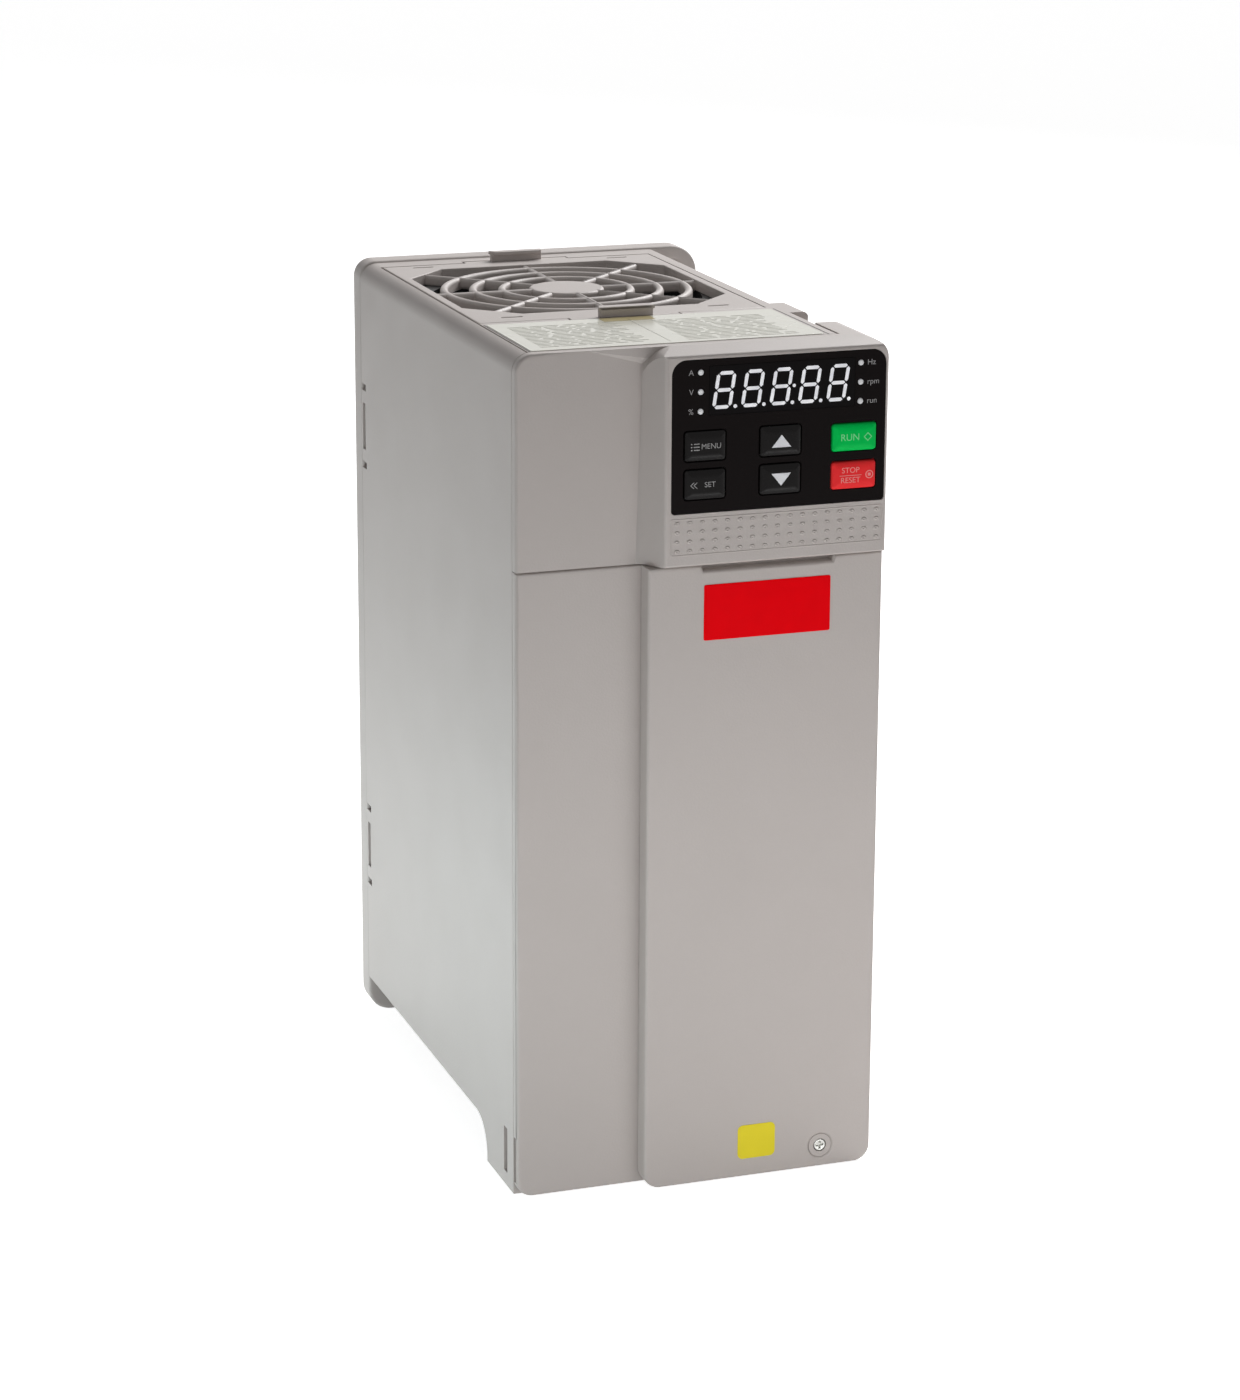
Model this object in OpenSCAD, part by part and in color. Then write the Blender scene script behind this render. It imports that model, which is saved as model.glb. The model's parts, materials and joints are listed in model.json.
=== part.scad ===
// Wall-mounted variable frequency drive: a book-shaped plastic case on a wall plate,
// with a raised keypad, a swinging terminal cover and a fan tray that lifts out of the top.
// X is to the right, Y is to the back, Z is up, in millimetres. The origin is the centre
// of the four wall holes, on the back face of the wall plate.

/* [Case] */
// Width of the two front shells
case_w = 100; // [98:1:130]
// Height of the case
case_h = 230; // [228:1:290]
// Depth from the wall to the plain front face
case_d = 155; // [153:1:190]
// Wall thickness of the mouldings
wall = 2.5; // [2.1:0.1:3]
// Radius of the long top edges
edge_r = 5; // [4:0.5:7]
// Radius of the housing's top edge at the right, beside its rib
right_edge_r = 1.2; // [0.8:0.1:2]
// How much narrower the rear housing is than the front shells
side_step = 10; // [8:0.5:14]
// Depth of the front shells at the left side
shell_d = 3.2; // [3.2:0.1:5]
// Depth of the front shells at the right side
flare_d = 20; // [14:1:28]
// Height of the joint between the lower and the upper front shell
split_h = 173; // [170:1:178]
// Visible gap between neighbouring mouldings
seam = 0.3; // [0.2:0.05:0.5]

/* [Legs and wall plate] */
// Height of the front leg below the housing's underside
leg_h = 11.5; // [10:0.5:14]
// Depth of the front leg, from the front face
leg_d = 27; // [24:1:32]
// Radius of the hollow behind the leg
leg_fillet = 10; // [6:0.5:10]
// Thickness of the wall plate
plate_t = 7; // [6:0.5:9]
// How far the wall plate stands out past the front shells on the right
plate_lip = 4; // [2:0.5:8]
// Width of each lower ear of the wall plate
ear_w = 16; // [14:1:20]
// Radius of the wall holes
wall_hole_r = 2.6; // [2.2:0.1:3.2]
// Distance from the plate's sides to the wall holes
hole_inset_x = 8; // [7:0.5:9]
// Distance from the plate's ends to the wall holes
hole_inset_z = 6; // [5.5:0.5:7]

/* [Terminal cover] */
// Distance from the left side to the raised cover and keypad
raise_x = 34.2; // [30:0.5:38]
// How far the terminal cover stands out of the front face
cover_raise = 5.7; // [5:0.1:7]
// Wall thickness of the terminal cover
cover_wall = 2; // [1.6:0.1:2.4]
// Width of the finger notch in the cover's top edge
notch_w = 38; // [30:1:44]
// Radius of the captive screw's head
screw_head_r = 1.65; // [1.5:0.05:2]
// Radius of the captive screw's shank
screw_r = 1.2; // [1:0.05:1.3]

/* [Keypad] */
// How far the keypad stands out of the front face
key_raise = 7.2; // [6.8:0.1:8.5]
// Width of the black panel
panel_w = 59.5; // [59:0.5:60]
// Height of the black panel
panel_h = 40.5; // [40:0.5:41]
// Thickness of the black panel
panel_t = 1; // [0.8:0.1:1.2]
// How far the keys stand out of the panel
key_proud = 0.9; // [0.8:0.1:1.6]
// Travel of a key
key_travel = 0.8; // [0.5:0.1:0.9]
// Gap around each key
key_gap = 0.3; // [0.2:0.05:0.4]
// Thickness of every circuit board
board_t = 1.6; // [1.2:0.2:2]

/* [Fan] */
// Side of the square fan
fan_size = 80; // [70:1:80]
// Height of the fan
fan_h = 25; // [20:1:32]
// Number of fan blades
blade_count = 7; // [5:1:9]
// Thickness of the fan cover's plate
fan_cover_t = 3; // [2.5:0.5:4]
// Width of the grille's bars
bar_w = 2.2; // [1.6:0.2:2.6]
// Depth of the grille's bars
bar_h = 4; // [3:0.5:4.5]
// Radial clearance of the impeller's shaft in its bearing
bearing_gap = 0.05; // [0.03:0.01:0.1]

/* [Power section] */
// Number of heat sink fins
fin_count = 13; // [8:1:15]
// Thickness of one fin
fin_t = 2; // [1.5:0.1:2.5]
// Thickness of the heat sink's base
sink_base_t = 8; // [6:0.5:10]
// Thickness of the power modules
module_t = 12; // [10:0.5:14]
// Radius of the storage capacitors
cap_r = 12.5; // [10:0.5:13]
// Number of poles on the power terminal block
pole_count = 9; // [6:1:9]
// Pitch of the power terminal poles
pole_pitch = 7.5; // [7:0.1:7.6]

/* [Hidden] */

$fn = 48;
eps = 0.01;

// Main planes
plate_w = case_w + plate_lip;
left_x = -plate_w / 2;
right_x = left_x + case_w;
body_x = right_x - side_step;
floor_z = -case_h / 2;
top_z = case_h / 2;
front_y = -case_d;
rear_y = -plate_t;
seam_y = front_y + shell_d;
flare_y = front_y + flare_d;
leg_y = front_y + leg_d;
under_z = floor_z + leg_h;
split_z = floor_z + split_h;
in_left = left_x + wall;
in_right = body_x - wall;
in_floor = under_z + wall;
fit = 0.1;

// Snap tongues that hold the front shells, and the windows in the lower left side
tongue_t = 2;
tongue_d = 9;
tongue_h = 11;
shell_root = 1.5;
window_z = [3.8, 16.6];
window_d = 3;
housing_window_y = seam_y + 5.5;
shell_window_y = front_y + 0.7;
barb = 1.7;

// Snap hooks of the wall plate
hook_z = [floor_z + 54.2, top_z - 47.4];
hook_h = 13.8;
hook_slot_y = [rear_y - 3.8, rear_y - 1];
relief_h = 2;
relief_gap = 3.7;

// Side rib of the housing
rib_r = 1.5;
rib_w = 4.5;
rib_y = [front_y + 36, front_y + 51];

// Terminal cover and its captive screw
raised_x = left_x + raise_x;
lid_gap = 0.2;
cover_front_y = front_y - cover_raise;
cover_back_y = front_y - lid_gap;
cover_top_z = split_z - seam;
cover_corner_r = 4.5;
notch_x = left_x + 67.6;
notch_h = 1.5;
notch_d = 2.6;
screw_x = right_x - 14.7;
screw_z = floor_z + 6.1;
screw_ring_r = 3.3;
screw_ring_d = 0.4;
screw_head_h = 1.6;
screw_turn_gap = 0.2;
screw_boss_r = 3.6;
screw_reach = 6;
shell_hole_r = screw_r + 0.7;
bay_x = [raised_x + 3.8, in_right - fit - tongue_t - 1.5];
bay_z = [floor_z + 14, split_z - 3];
cover_hook_w = 10;
cover_hook_x = [raised_x + 8.8, bay_x[1] - 12];
cover_hook_t = 1.8;
cover_hook_gap = 0.8;

// Cable entry
entry_x = [in_left + 7.5, in_right - 7.5];
entry_y = [front_y + 8, front_y + 33];
entry_rim = 2;
cable_plate_t = 2;
cable_hole_r = 9;
grommet_flange = 2.2;
grommet_hole_r = 6.5;
cable_pitch = 23;
cable_count = 3;
cable_y = (entry_y[0] + entry_y[1]) / 2;

// Fan tray
fan_x = (left_x + body_x) / 2;
fan_y = rear_y - 53.4;
tray_w = fan_size + 1;
tray_y = [fan_y - fan_size / 2 - 8.6, fan_y + fan_size / 2 + 5.4];
tray_gap = 0.5;
ledge_t = 2.5;
ledge_front_d = 5.5;
ledge_rear_d = 2.8;
tongue_w = 31;
tongue_reach = 2.5;
clip_w = 16;
clip_rise = 2.9;
clip_t = 3;
grille_half = fan_size / 2 - 2;
grille_cut = 13;
ring_pitch = 8.1;
hub_r = 10;
spoke_count = 8;
fan_top_z = top_z - fan_cover_t;
fan_floor_z = fan_top_z - fan_h;
fan_bore_r = fan_size / 2 - 1.7;
motor_r = 16;
shaft_r = 1.5;
blade_gap = 1;
leg_w = 6;
leg_t = 1.2;
fan_leg_x = 29.5;
plug_x = fan_x + 18;
plug_size = [10, 8, 10];
socket_h = 8;
pin_r = 0.5;

// Heat sink, power board and what stands on them
sink_y = front_y + 60;
sink_z = [floor_z + 20, fan_floor_z - 6];
power_y = sink_y - module_t;
power_x = [in_left + 1.5, in_right - 1.5];
power_z = [floor_z + 16, sink_z[1]];
spacer_r = 3;
spacer_inset = 4;
module_size = [50, 35];
module_at = [fan_x, floor_z + 82];
rectifier_size = [40, 18];
rectifier_at = [fan_x, floor_z + 134];
module_tab = 8;
module_tab_t = 5;
module_screw_r = 1.9;
cap_at = [[-15, 140], [15, 140], [-15, 168], [15, 168]];
choke_r = 15;
choke_t = 12;
choke_at = [left_x + 26, floor_z + 92];
relay_size = [22, 16, 12];
relay_at = [left_x + 52, floor_z + 85];
block_d = 20;
block_h = 22;
block_z = floor_z + 22;

// Inner tray and control board
tray_front_y = front_y + 18;
tray_t = 2;
tray_lip = 4;
inner_tray_z = [floor_z + 50, sink_z[1]];
control_gap = 2.4;
control_y = tray_front_y - control_gap - board_t;
control_x = [in_left + 5.5, in_right - 5.5];
control_z = [inner_tray_z[0] + tray_t + 1, split_z - 5];
control_inset = 4;

// Keypad
panel_x = right_x - 0.8 - panel_w;
panel_z = top_z - 2.5 - panel_h;
bezel_slope = 4;
bezel_top_slope = 1.5;
bezel_r = 8;
panel_recess = 0.2;
key_face_y = front_y - key_raise + panel_recess;
panel_back_y = key_face_y + panel_t;
bezel_inner_y = front_y - key_raise + wall;
keypad_board_y = front_y - 1;
switch_h = 2.3;
switch_gap = 0.1;
flange_t = 1;
flange_w = 0.6;
key_stem_r = 1.8;
window_at = [10.2, 25.6];
window_size = [40.6, 13];
led_r = 0.8;
led_at = [for (x = [8, 52.4]) for (z = [26.8, 31.9, 37]) [x, z]];
key_cols = [3.6, 24.4, 44.5];
key_rows = [3.7, 13.8];
key_widths = [11.3, 11.4, 12.4];
key_heights = [7.9, 8, 7.3];
key_corner_r = 0.8;
panel_opening = [[2.3, 2], [58.3, 39.2]];
ribbon_x = [panel_x + 17.3, panel_x + 29.3];
ribbon_t = 0.8;
ribbon_y = front_y + 4.2;

// Colours
grey = "#b9b3b0";
dark = "#1b1b1c";
metal = "#b8bcc0";
green_board = "#1f6b3a";

// ---------------------------------------------------------------- helpers

// Box between two corners
module span(lo, hi) {
    translate(lo) cube(hi - lo);
}

// X,Z outline drawn from y0 to y1
module along_y(y0, y1) {
    translate([0, y1, 0]) rotate([90, 0, 0]) linear_extrude(y1 - y0) children();
}

// Y,Z outline drawn from x0 to x1
module along_x(x0, x1) {
    translate([x0, 0, 0]) rotate([90, 0, 90]) linear_extrude(x1 - x0) children();
}

// X,Y outline drawn from z0 to z1
module along_z(z0, z1) {
    translate([0, 0, z0]) linear_extrude(z1 - z0) children();
}

// Round bar or hole along Y
module rod_y(x, z, y0, y1, r) {
    translate([x, y1, z]) rotate([90, 0, 0]) cylinder(h = y1 - y0, r = r);
}

// Upright round bar or hole
module rod_z(x, y, z0, z1, r) {
    translate([x, y, z0]) cylinder(h = z1 - z0, r = r);
}

// What is outside a round corner at p, whose sides run towards s
module corner_waste(p, s, r) {
    difference() {
        translate([min(p.x - s.x, p.x + s.x * r), min(p.y - s.y, p.y + s.y * r)]) square(r + 1);
        translate(p + s * r) circle(r);
    }
}

// Rectangle with its own radius at the lower left, lower right, upper right, upper left
module rounded(lo, hi, r) {
    corners = [lo, [hi.x, lo.y], hi, [lo.x, hi.y]];
    inward = [[1, 1], [-1, 1], [-1, -1], [1, -1]];
    difference() {
        translate(lo) square(hi - lo);
        for (i = [0 : 3]) if (r[i] > 0) corner_waste(corners[i], inward[i], r[i]);
    }
}

// Pan-head screw along Y, its head towards the front
module screw_y(x, z, head_y, head_h, head_r, end_y, r) {
    difference() {
        union() {
            rod_y(x, z, head_y, head_y + head_h, head_r);
            rod_y(x, z, head_y + head_h - eps, end_y, r);
        }
        for (a = [0, 90]) translate([x, head_y, z]) rotate([0, a, 0])
            cube([head_r * 1.3, head_h, head_r * 0.3], center = true);
    }
}

// ---------------------------------------------------------------- case

// Side outline of the housing, with its front leg
module housing_side() {
    translate([seam_y, under_z]) square([rear_y - seam_y, top_z - under_z]);
    translate([seam_y, floor_z]) square([leg_y - seam_y, leg_h + eps]);
    translate([leg_y - eps, under_z - leg_fillet]) difference() {
        square([leg_fillet + eps, leg_fillet + eps]);
        translate([leg_fillet + eps, 0]) circle(leg_fillet);
    }
}

// Seat of the fan tray in the top deck, grown by a gap
module tray_outline(gap) {
    translate([fan_x - tray_w / 2 - gap, tray_y[0] - gap])
        square([tray_w + 2 * gap, tray_y[1] - tray_y[0] + 2 * gap]);
    translate([fan_x - tongue_w / 2 - gap, tray_y[0] - tongue_reach - gap])
        square([tongue_w + 2 * gap, tray_y[1] - tray_y[0] + 2 * (tongue_reach + gap)]);
}

// Slot and two reliefs for one snap hook of the wall plate, through both side walls
module hook_slots(z) {
    span([left_x - 1, hook_slot_y[0], z - hook_h / 2], [body_x + 1, hook_slot_y[1], z + hook_h / 2]);
    for (s = [-1, 1]) translate([0, 0, z + s * (hook_h / 2 + relief_gap + relief_h / 2)])
        span([left_x - 1, rear_y - 4.5, -relief_h / 2], [body_x + 1, rear_y + 1, relief_h / 2]);
}

// Shelves that carry the fan tray's plate
module tray_ledges() {
    x0 = fan_x - tray_w / 2 - tray_gap;
    x1 = fan_x + tray_w / 2 + tray_gap;
    z0 = fan_top_z - ledge_t;
    y0 = tray_y[0] - tongue_reach - tray_gap - 2;
    y1 = tray_y[1] + tongue_reach + tray_gap + 1;
    difference() {
        union() {
            span([x0, y0, z0], [x1, tray_y[0] + ledge_front_d, top_z - wall + eps]);
            span([x0, tray_y[1] - ledge_rear_d, z0], [x1, y1, top_z - wall + eps]);
        }
        along_z(fan_top_z, top_z + 1) tray_outline(tray_gap);
        span([plug_x - plug_size.x / 2 - 1, tray_y[0] - 2.5, z0 - 1],
             [plug_x + plug_size.x / 2 + 1, tray_y[0] + ledge_front_d + 1, fan_top_z + eps]);
    }
}

// Slots under the heat sink, where the air comes in
module inlet_slots() {
    pitch = 6;
    count = floor((in_right - in_left - 16) / pitch);
    for (i = [0 : count - 1])
        span([fan_x + (i - (count - 1) / 2) * pitch - 1.5, sink_y + sink_base_t + 6, under_z - 1],
             [fan_x + (i - (count - 1) / 2) * pitch + 1.5, rear_y - 12, in_floor + 1]);
}

// Louvres in the right side wall
module side_louvres() {
    for (z = [under_z + 30 : 7 : top_z - 60])
        span([in_right - 1, rib_y[1] + 14, z], [body_x + 1, rear_y - 30, z + 2.5]);
}

module housing() {
    color(grey) {
        difference() {
            union() {
                intersection() {
                    along_x(left_x, body_x) housing_side();
                    along_y(seam_y, rear_y)
                        rounded([left_x, floor_z], [body_x, top_z], [0, 0, right_edge_r, edge_r]);
                }
                intersection() {
                    span([body_x - wall / 2, rib_y[0], under_z], [body_x + rib_w, rib_y[1], top_z]);
                    along_y(rib_y[0], rib_y[1])
                        rounded([left_x, under_z], [body_x + rib_w, top_z], [0, 0, rib_r, 0]);
                }
            }
            along_y(seam_y - 1, rear_y + 1)
                rounded([in_left, in_floor], [in_right, top_z - wall],
                        [0, 0, 0, edge_r - wall]);
            span([in_left, seam_y - 1, floor_z - 1],
                 [in_right, leg_y + leg_fillet + 1, under_z]);
            span([entry_x[0], entry_y[0], under_z - 1], [entry_x[1], entry_y[1], in_floor + 1]);
            along_z(fan_top_z, top_z + 1) tray_outline(tray_gap);
            span([left_x + 4, seam_y - 1, top_z - 1.2],
                 [fan_x - tray_w / 2, tray_y[0], top_z + 1]);
            inlet_slots();
            side_louvres();
            for (z = hook_z) hook_slots(z);
            for (x = [in_left, in_right - tongue_t - 2 * fit])
                span([x, seam_y - 1, under_z - 1],
                     [x + tongue_t + 2 * fit, seam_y + tongue_d + seam, in_floor + 1]);
            span([left_x - 1, housing_window_y, floor_z + window_z[0]],
                 [in_left + 1, housing_window_y + window_d, floor_z + window_z[1]]);
            rod_y(screw_x, screw_z, seam_y - 1, front_y + wall + screw_reach + 1, screw_boss_r + 0.5);
        }
        tray_ledges();
    }
}

// One snap hook of the wall plate, inside the left wall
module plate_hook(z) {
    x = in_left + fit;
    span([x, rear_y - 7, z - hook_h / 2 + 1], [x + tongue_t, rear_y + eps, z + hook_h / 2 - 1]);
    span([x - barb, hook_slot_y[0] + 0.3, z - hook_h / 2 + 1],
         [x + eps, hook_slot_y[1] - 0.3, z + hook_h / 2 - 1]);
}

module back_plate() {
    plate_top = top_z + 0.6;
    color(grey) {
        difference() {
            along_y(rear_y, 0) rounded([-plate_w / 2, floor_z], [plate_w / 2, plate_top],
                                       [7, 7, 8, edge_r]);
            along_y(rear_y - 1, 1) rounded([-plate_w / 2 + ear_w, floor_z - 5],
                                           [plate_w / 2 - ear_w, floor_z + leg_h - 3], [0, 0, 3, 3]);
            along_y(-3, 1) rounded([-plate_w / 2 + 20, floor_z + 24], [plate_w / 2 - 20, top_z - 20],
                                   [4, 4, 4, 4]);
            for (sx = [-1, 1], sz = [-1, 1])
                rod_y(sx * (plate_w / 2 - hole_inset_x), sz * (case_h / 2 - hole_inset_z),
                      rear_y - 1, 1, wall_hole_r);
        }
        for (z = hook_z) {
            plate_hook(z);
            translate([left_x + body_x, 0, 0]) mirror([1, 0, 0]) plate_hook(z);
        }
    }
}

// Hollow of a front shell: behind its face, and in its deep right side
module shell_hollow(z0, z1) {
    span([in_left, front_y + wall, z0], [right_x - wall, seam_y + 1, z1]);
    span([body_x + wall, front_y + wall, z0], [right_x - wall, flare_y - wall, z1]);
}

// Two snap tongues of a front shell, one inside each side wall of the housing
module shell_tongues(z) {
    for (x = [in_left + fit, in_right - fit - tongue_t])
        span([x, seam_y - seam - shell_root, z], [x + tongue_t, seam_y + tongue_d, z + tongue_h]);
}

module lower_shell() {
    top = split_z - seam;
    barb_z = [floor_z + window_z[0] + 1, floor_z + window_z[1] - 1];
    color(grey) difference() {
        union() {
            difference() {
                union() {
                    along_y(front_y, seam_y - seam)
                        rounded([left_x, floor_z], [right_x, top], [edge_r - 0.5, edge_r - 0.5, 0, 0]);
                    along_y(front_y, flare_y)
                        rounded([body_x, floor_z], [right_x, top], [0, edge_r - 0.5, 0, 0]);
                }
                shell_hollow(floor_z + wall, top + 1);
                along_y(front_y - 1, front_y + wall + 1)
                    rounded([bay_x[0], bay_z[0]], [bay_x[1], bay_z[1]], [2, 2, 2, 2]);
                span([left_x - 1, shell_window_y, floor_z + window_z[0]],
                     [left_x + wall / 2, shell_window_y + 2.5 - seam, floor_z + window_z[1]]);
            }
            rod_y(screw_x, screw_z, front_y + wall - eps, front_y + wall + screw_reach, screw_boss_r);
            for (z = [floor_z + 5, floor_z + 95]) shell_tongues(z);
            span([in_left + fit - barb, housing_window_y + 0.3, barb_z[0]],
                 [in_left + fit + eps, housing_window_y + window_d - 0.3, barb_z[1]]);
        }
        rod_y(screw_x, screw_z, front_y - 1, front_y + wall + screw_reach + 1, shell_hole_r);
    }
}

// Raised part of the keypad, sloping at its left and top
module bezel_block() {
    y0 = front_y - key_raise;
    intersection() {
        along_y(y0, front_y + eps)
            rounded([raised_x, split_z], [right_x, top_z], [0, 0, edge_r, bezel_r]);
        along_z(split_z, top_z)
            polygon([[raised_x, front_y + eps], [raised_x + bezel_slope, y0],
                     [right_x, y0], [right_x, front_y + eps]]);
        along_x(raised_x, right_x)
            polygon([[front_y + eps, top_z], [y0, top_z - bezel_top_slope],
                     [y0, split_z], [front_y + eps, split_z]]);
    }
}

module upper_shell() {
    post_x = [panel_x + 5, panel_x + panel_w - 6];
    post_z = split_z + 8;
    color(grey) difference() {
        union() {
            difference() {
                union() {
                    along_y(front_y, seam_y - seam)
                        rounded([left_x, split_z], [right_x, top_z], [0, 0, edge_r, edge_r]);
                    along_y(front_y, flare_y)
                        rounded([body_x, split_z], [right_x, top_z], [0, 0, edge_r, 0]);
                    bezel_block();
                }
                shell_hollow(split_z - 1, top_z - wall);
                span([raised_x + bezel_slope + wall, bezel_inner_y, split_z + wall],
                     [right_x - wall, front_y + wall + eps, top_z - wall]);
                along_y(front_y - key_raise - 1, panel_back_y)
                    rounded([panel_x, panel_z], [panel_x + panel_w, panel_z + panel_h], [1, 1, 4, 4]);
                span([panel_x + panel_opening[0].x, front_y - key_raise - 1, panel_z + panel_opening[0].y],
                     [panel_x + panel_opening[1].x, front_y, panel_z + panel_opening[1].y]);
            }
            for (x = post_x) rod_y(x, post_z, bezel_inner_y - eps, keypad_board_y, 2.5);
            shell_tongues(split_z + 22);
            span([in_right - fit - tongue_t, seam_y - seam - shell_root, split_z + 22],
                 [right_x - wall / 2, seam_y - seam, split_z + 22 + tongue_h]);
        }
        for (x = post_x) rod_y(x, post_z, bezel_inner_y + 1, keypad_board_y + 1, 0.9);
    }
}

// Hook that holds the terminal cover's top edge behind the lower shell's rim
module cover_hook(x) {
    z = [cover_top_z - 6.7, bay_z[1] - cover_hook_gap];
    y = front_y + wall + cover_hook_gap;
    span([x, cover_front_y + cover_wall - eps, z[0]], [x + cover_hook_w, y + cover_hook_t, z[1]]);
    span([x, y, z[0]], [x + cover_hook_w, y + cover_hook_t, z[1] + 2]);
}

module terminal_cover() {
    inner_r = cover_corner_r - cover_wall;
    color(grey) difference() {
        union() {
            difference() {
                along_y(cover_front_y, cover_back_y)
                    rounded([raised_x, floor_z], [right_x, cover_top_z],
                            [cover_corner_r, cover_corner_r, 0, 0]);
                along_y(cover_front_y + cover_wall, cover_back_y + 1)
                    rounded([raised_x + cover_wall, floor_z + cover_wall],
                            [right_x - cover_wall, cover_top_z - cover_wall],
                            [inner_r, inner_r, 0, 0]);
                along_y(cover_front_y - 1, cover_front_y + notch_d)
                    polygon([[notch_x - notch_w / 2, cover_top_z + 1],
                             [notch_x - notch_w / 2 + 1, cover_top_z - notch_h],
                             [notch_x + notch_w / 2 - 1, cover_top_z - notch_h],
                             [notch_x + notch_w / 2, cover_top_z + 1]]);
            }
            rod_y(screw_x, screw_z, cover_front_y + cover_wall - eps, cover_back_y, screw_boss_r);
            for (x = cover_hook_x) cover_hook(x);
        }
        rod_y(screw_x, screw_z, cover_front_y - 1, cover_front_y + screw_ring_d, screw_ring_r);
        rod_y(screw_x, screw_z, cover_front_y - 1,
              cover_front_y + screw_ring_d + screw_head_h + 0.4, screw_head_r + screw_turn_gap);
        rod_y(screw_x, screw_z, cover_front_y - 1, cover_back_y + 1, screw_r + screw_turn_gap);
    }
}

module cover_screw() {
    color(metal) screw_y(screw_x, screw_z, cover_front_y + screw_ring_d, screw_head_h, screw_head_r,
                         front_y + screw_reach, screw_r);
}

module cable_plate() {
    color(grey) difference() {
        span([entry_x[0] - entry_rim, entry_y[0] - entry_rim, in_floor],
             [entry_x[1] + entry_rim, entry_y[1] + entry_rim, in_floor + cable_plate_t]);
        for (i = [0 : cable_count - 1])
            rod_z(fan_x + (i - (cable_count - 1) / 2) * cable_pitch, cable_y,
                  in_floor - 1, in_floor + cable_plate_t + 1, cable_hole_r);
    }
}

module cable_grommets() {
    color(dark) for (i = [0 : cable_count - 1])
        translate([fan_x + (i - (cable_count - 1) / 2) * cable_pitch, cable_y, 0]) difference() {
            union() {
                rod_z(0, 0, in_floor - grommet_flange, in_floor, cable_hole_r + 2);
                rod_z(0, 0, in_floor - eps, in_floor + cable_plate_t + eps, cable_hole_r - fit);
                rod_z(0, 0, in_floor + cable_plate_t, in_floor + cable_plate_t + grommet_flange,
                      cable_hole_r + 2);
            }
            rod_z(0, 0, in_floor - 10, in_floor + 10, grommet_hole_r);
        }
}

module rating_label() {
    color("#dadace")
        span([left_x + 5.4, seam_y + 0.4, top_z],
             [body_x - 4, tray_y[0] - tongue_reach - tray_gap - 0.6, top_z + 0.15]);
}

module front_label() {
    color("#d8101a")
        span([notch_x - 18, cover_front_y - 0.15, cover_top_z - 20.3],
             [notch_x + 17.5, cover_front_y, cover_top_z - 5.3]);
}

module plain_sticker() {
    color("#f2d21a") along_y(cover_front_y - 0.15, cover_front_y)
        rounded([left_x + 61, floor_z + 5.3], [left_x + 71.8, floor_z + 15], [1.5, 1.5, 1.5, 1.5]);
}

// ---------------------------------------------------------------- fan tray

// Square with cut corners
module octagon(half, cut) {
    polygon([[-half, cut - half], [cut - half, -half], [half - cut, -half], [half, cut - half],
             [half, half - cut], [half - cut, half], [cut - half, half], [-half, half - cut]]);
}

module fan_cover() {
    bar_z = top_z - bar_h - 0.4;
    reach = grille_half + 1;
    color(grey) {
        difference() {
            along_z(fan_top_z, top_z) tray_outline(0);
            translate([fan_x, fan_y, 0]) along_z(fan_top_z - 1, top_z + 1)
                octagon(grille_half, grille_cut);
            for (sx = [-1, 1], sy = [-1, 1])
                translate([fan_x + sx * fan_leg_x, fan_y + sy * (fan_size / 2 + 2.2), top_z - 1.2])
                    translate([-leg_w / 2, -0.5, 0]) cube([leg_w, 1, 2]);
        }
        intersection() {
            translate([fan_x, fan_y, 0]) along_z(fan_top_z, top_z) octagon(reach, grille_cut);
            union() {
                for (k = [1 : 3]) translate([fan_x, fan_y, bar_z])
                    rotate_extrude() translate([hub_r + k * ring_pitch - bar_w / 2, 0])
                        square([bar_w, bar_h]);
                translate([fan_x, fan_y, bar_z]) cylinder(h = bar_h, r = hub_r);
                for (i = [0 : spoke_count - 1])
                    translate([fan_x, fan_y, bar_z]) rotate([0, 0, i * 360 / spoke_count])
                        translate([hub_r - 1, -bar_w / 2, 0]) cube([grille_half * 1.5, bar_w, bar_h]);
            }
        }
        for (s = [-1, 1]) {
            y = s < 0 ? tray_y[0] - tongue_reach : tray_y[1] + tongue_reach - clip_t;
            span([fan_x - clip_w / 2, y, top_z - eps], [fan_x + clip_w / 2, y + clip_t, top_z + clip_rise]);
        }
        for (sx = [-1, 1], sy = [-1, 1]) fan_leg(sx, sy);
    }
}

// Snap leg that carries one edge of the fan
module fan_leg(sx, sy) {
    outer = sy * (fan_size / 2 + fit);
    foot = sy * (fan_size / 2 - 1);
    far = outer + sy * leg_t;
    z0 = fan_floor_z - fit - 1.4;
    translate([fan_x + sx * fan_leg_x, fan_y, 0]) {
        span([-leg_w / 2, min(outer, far), z0], [leg_w / 2, max(outer, far), fan_top_z + eps]);
        span([-leg_w / 2, min(foot, far), z0], [leg_w / 2, max(foot, far), fan_floor_z - fit]);
    }
}

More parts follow.
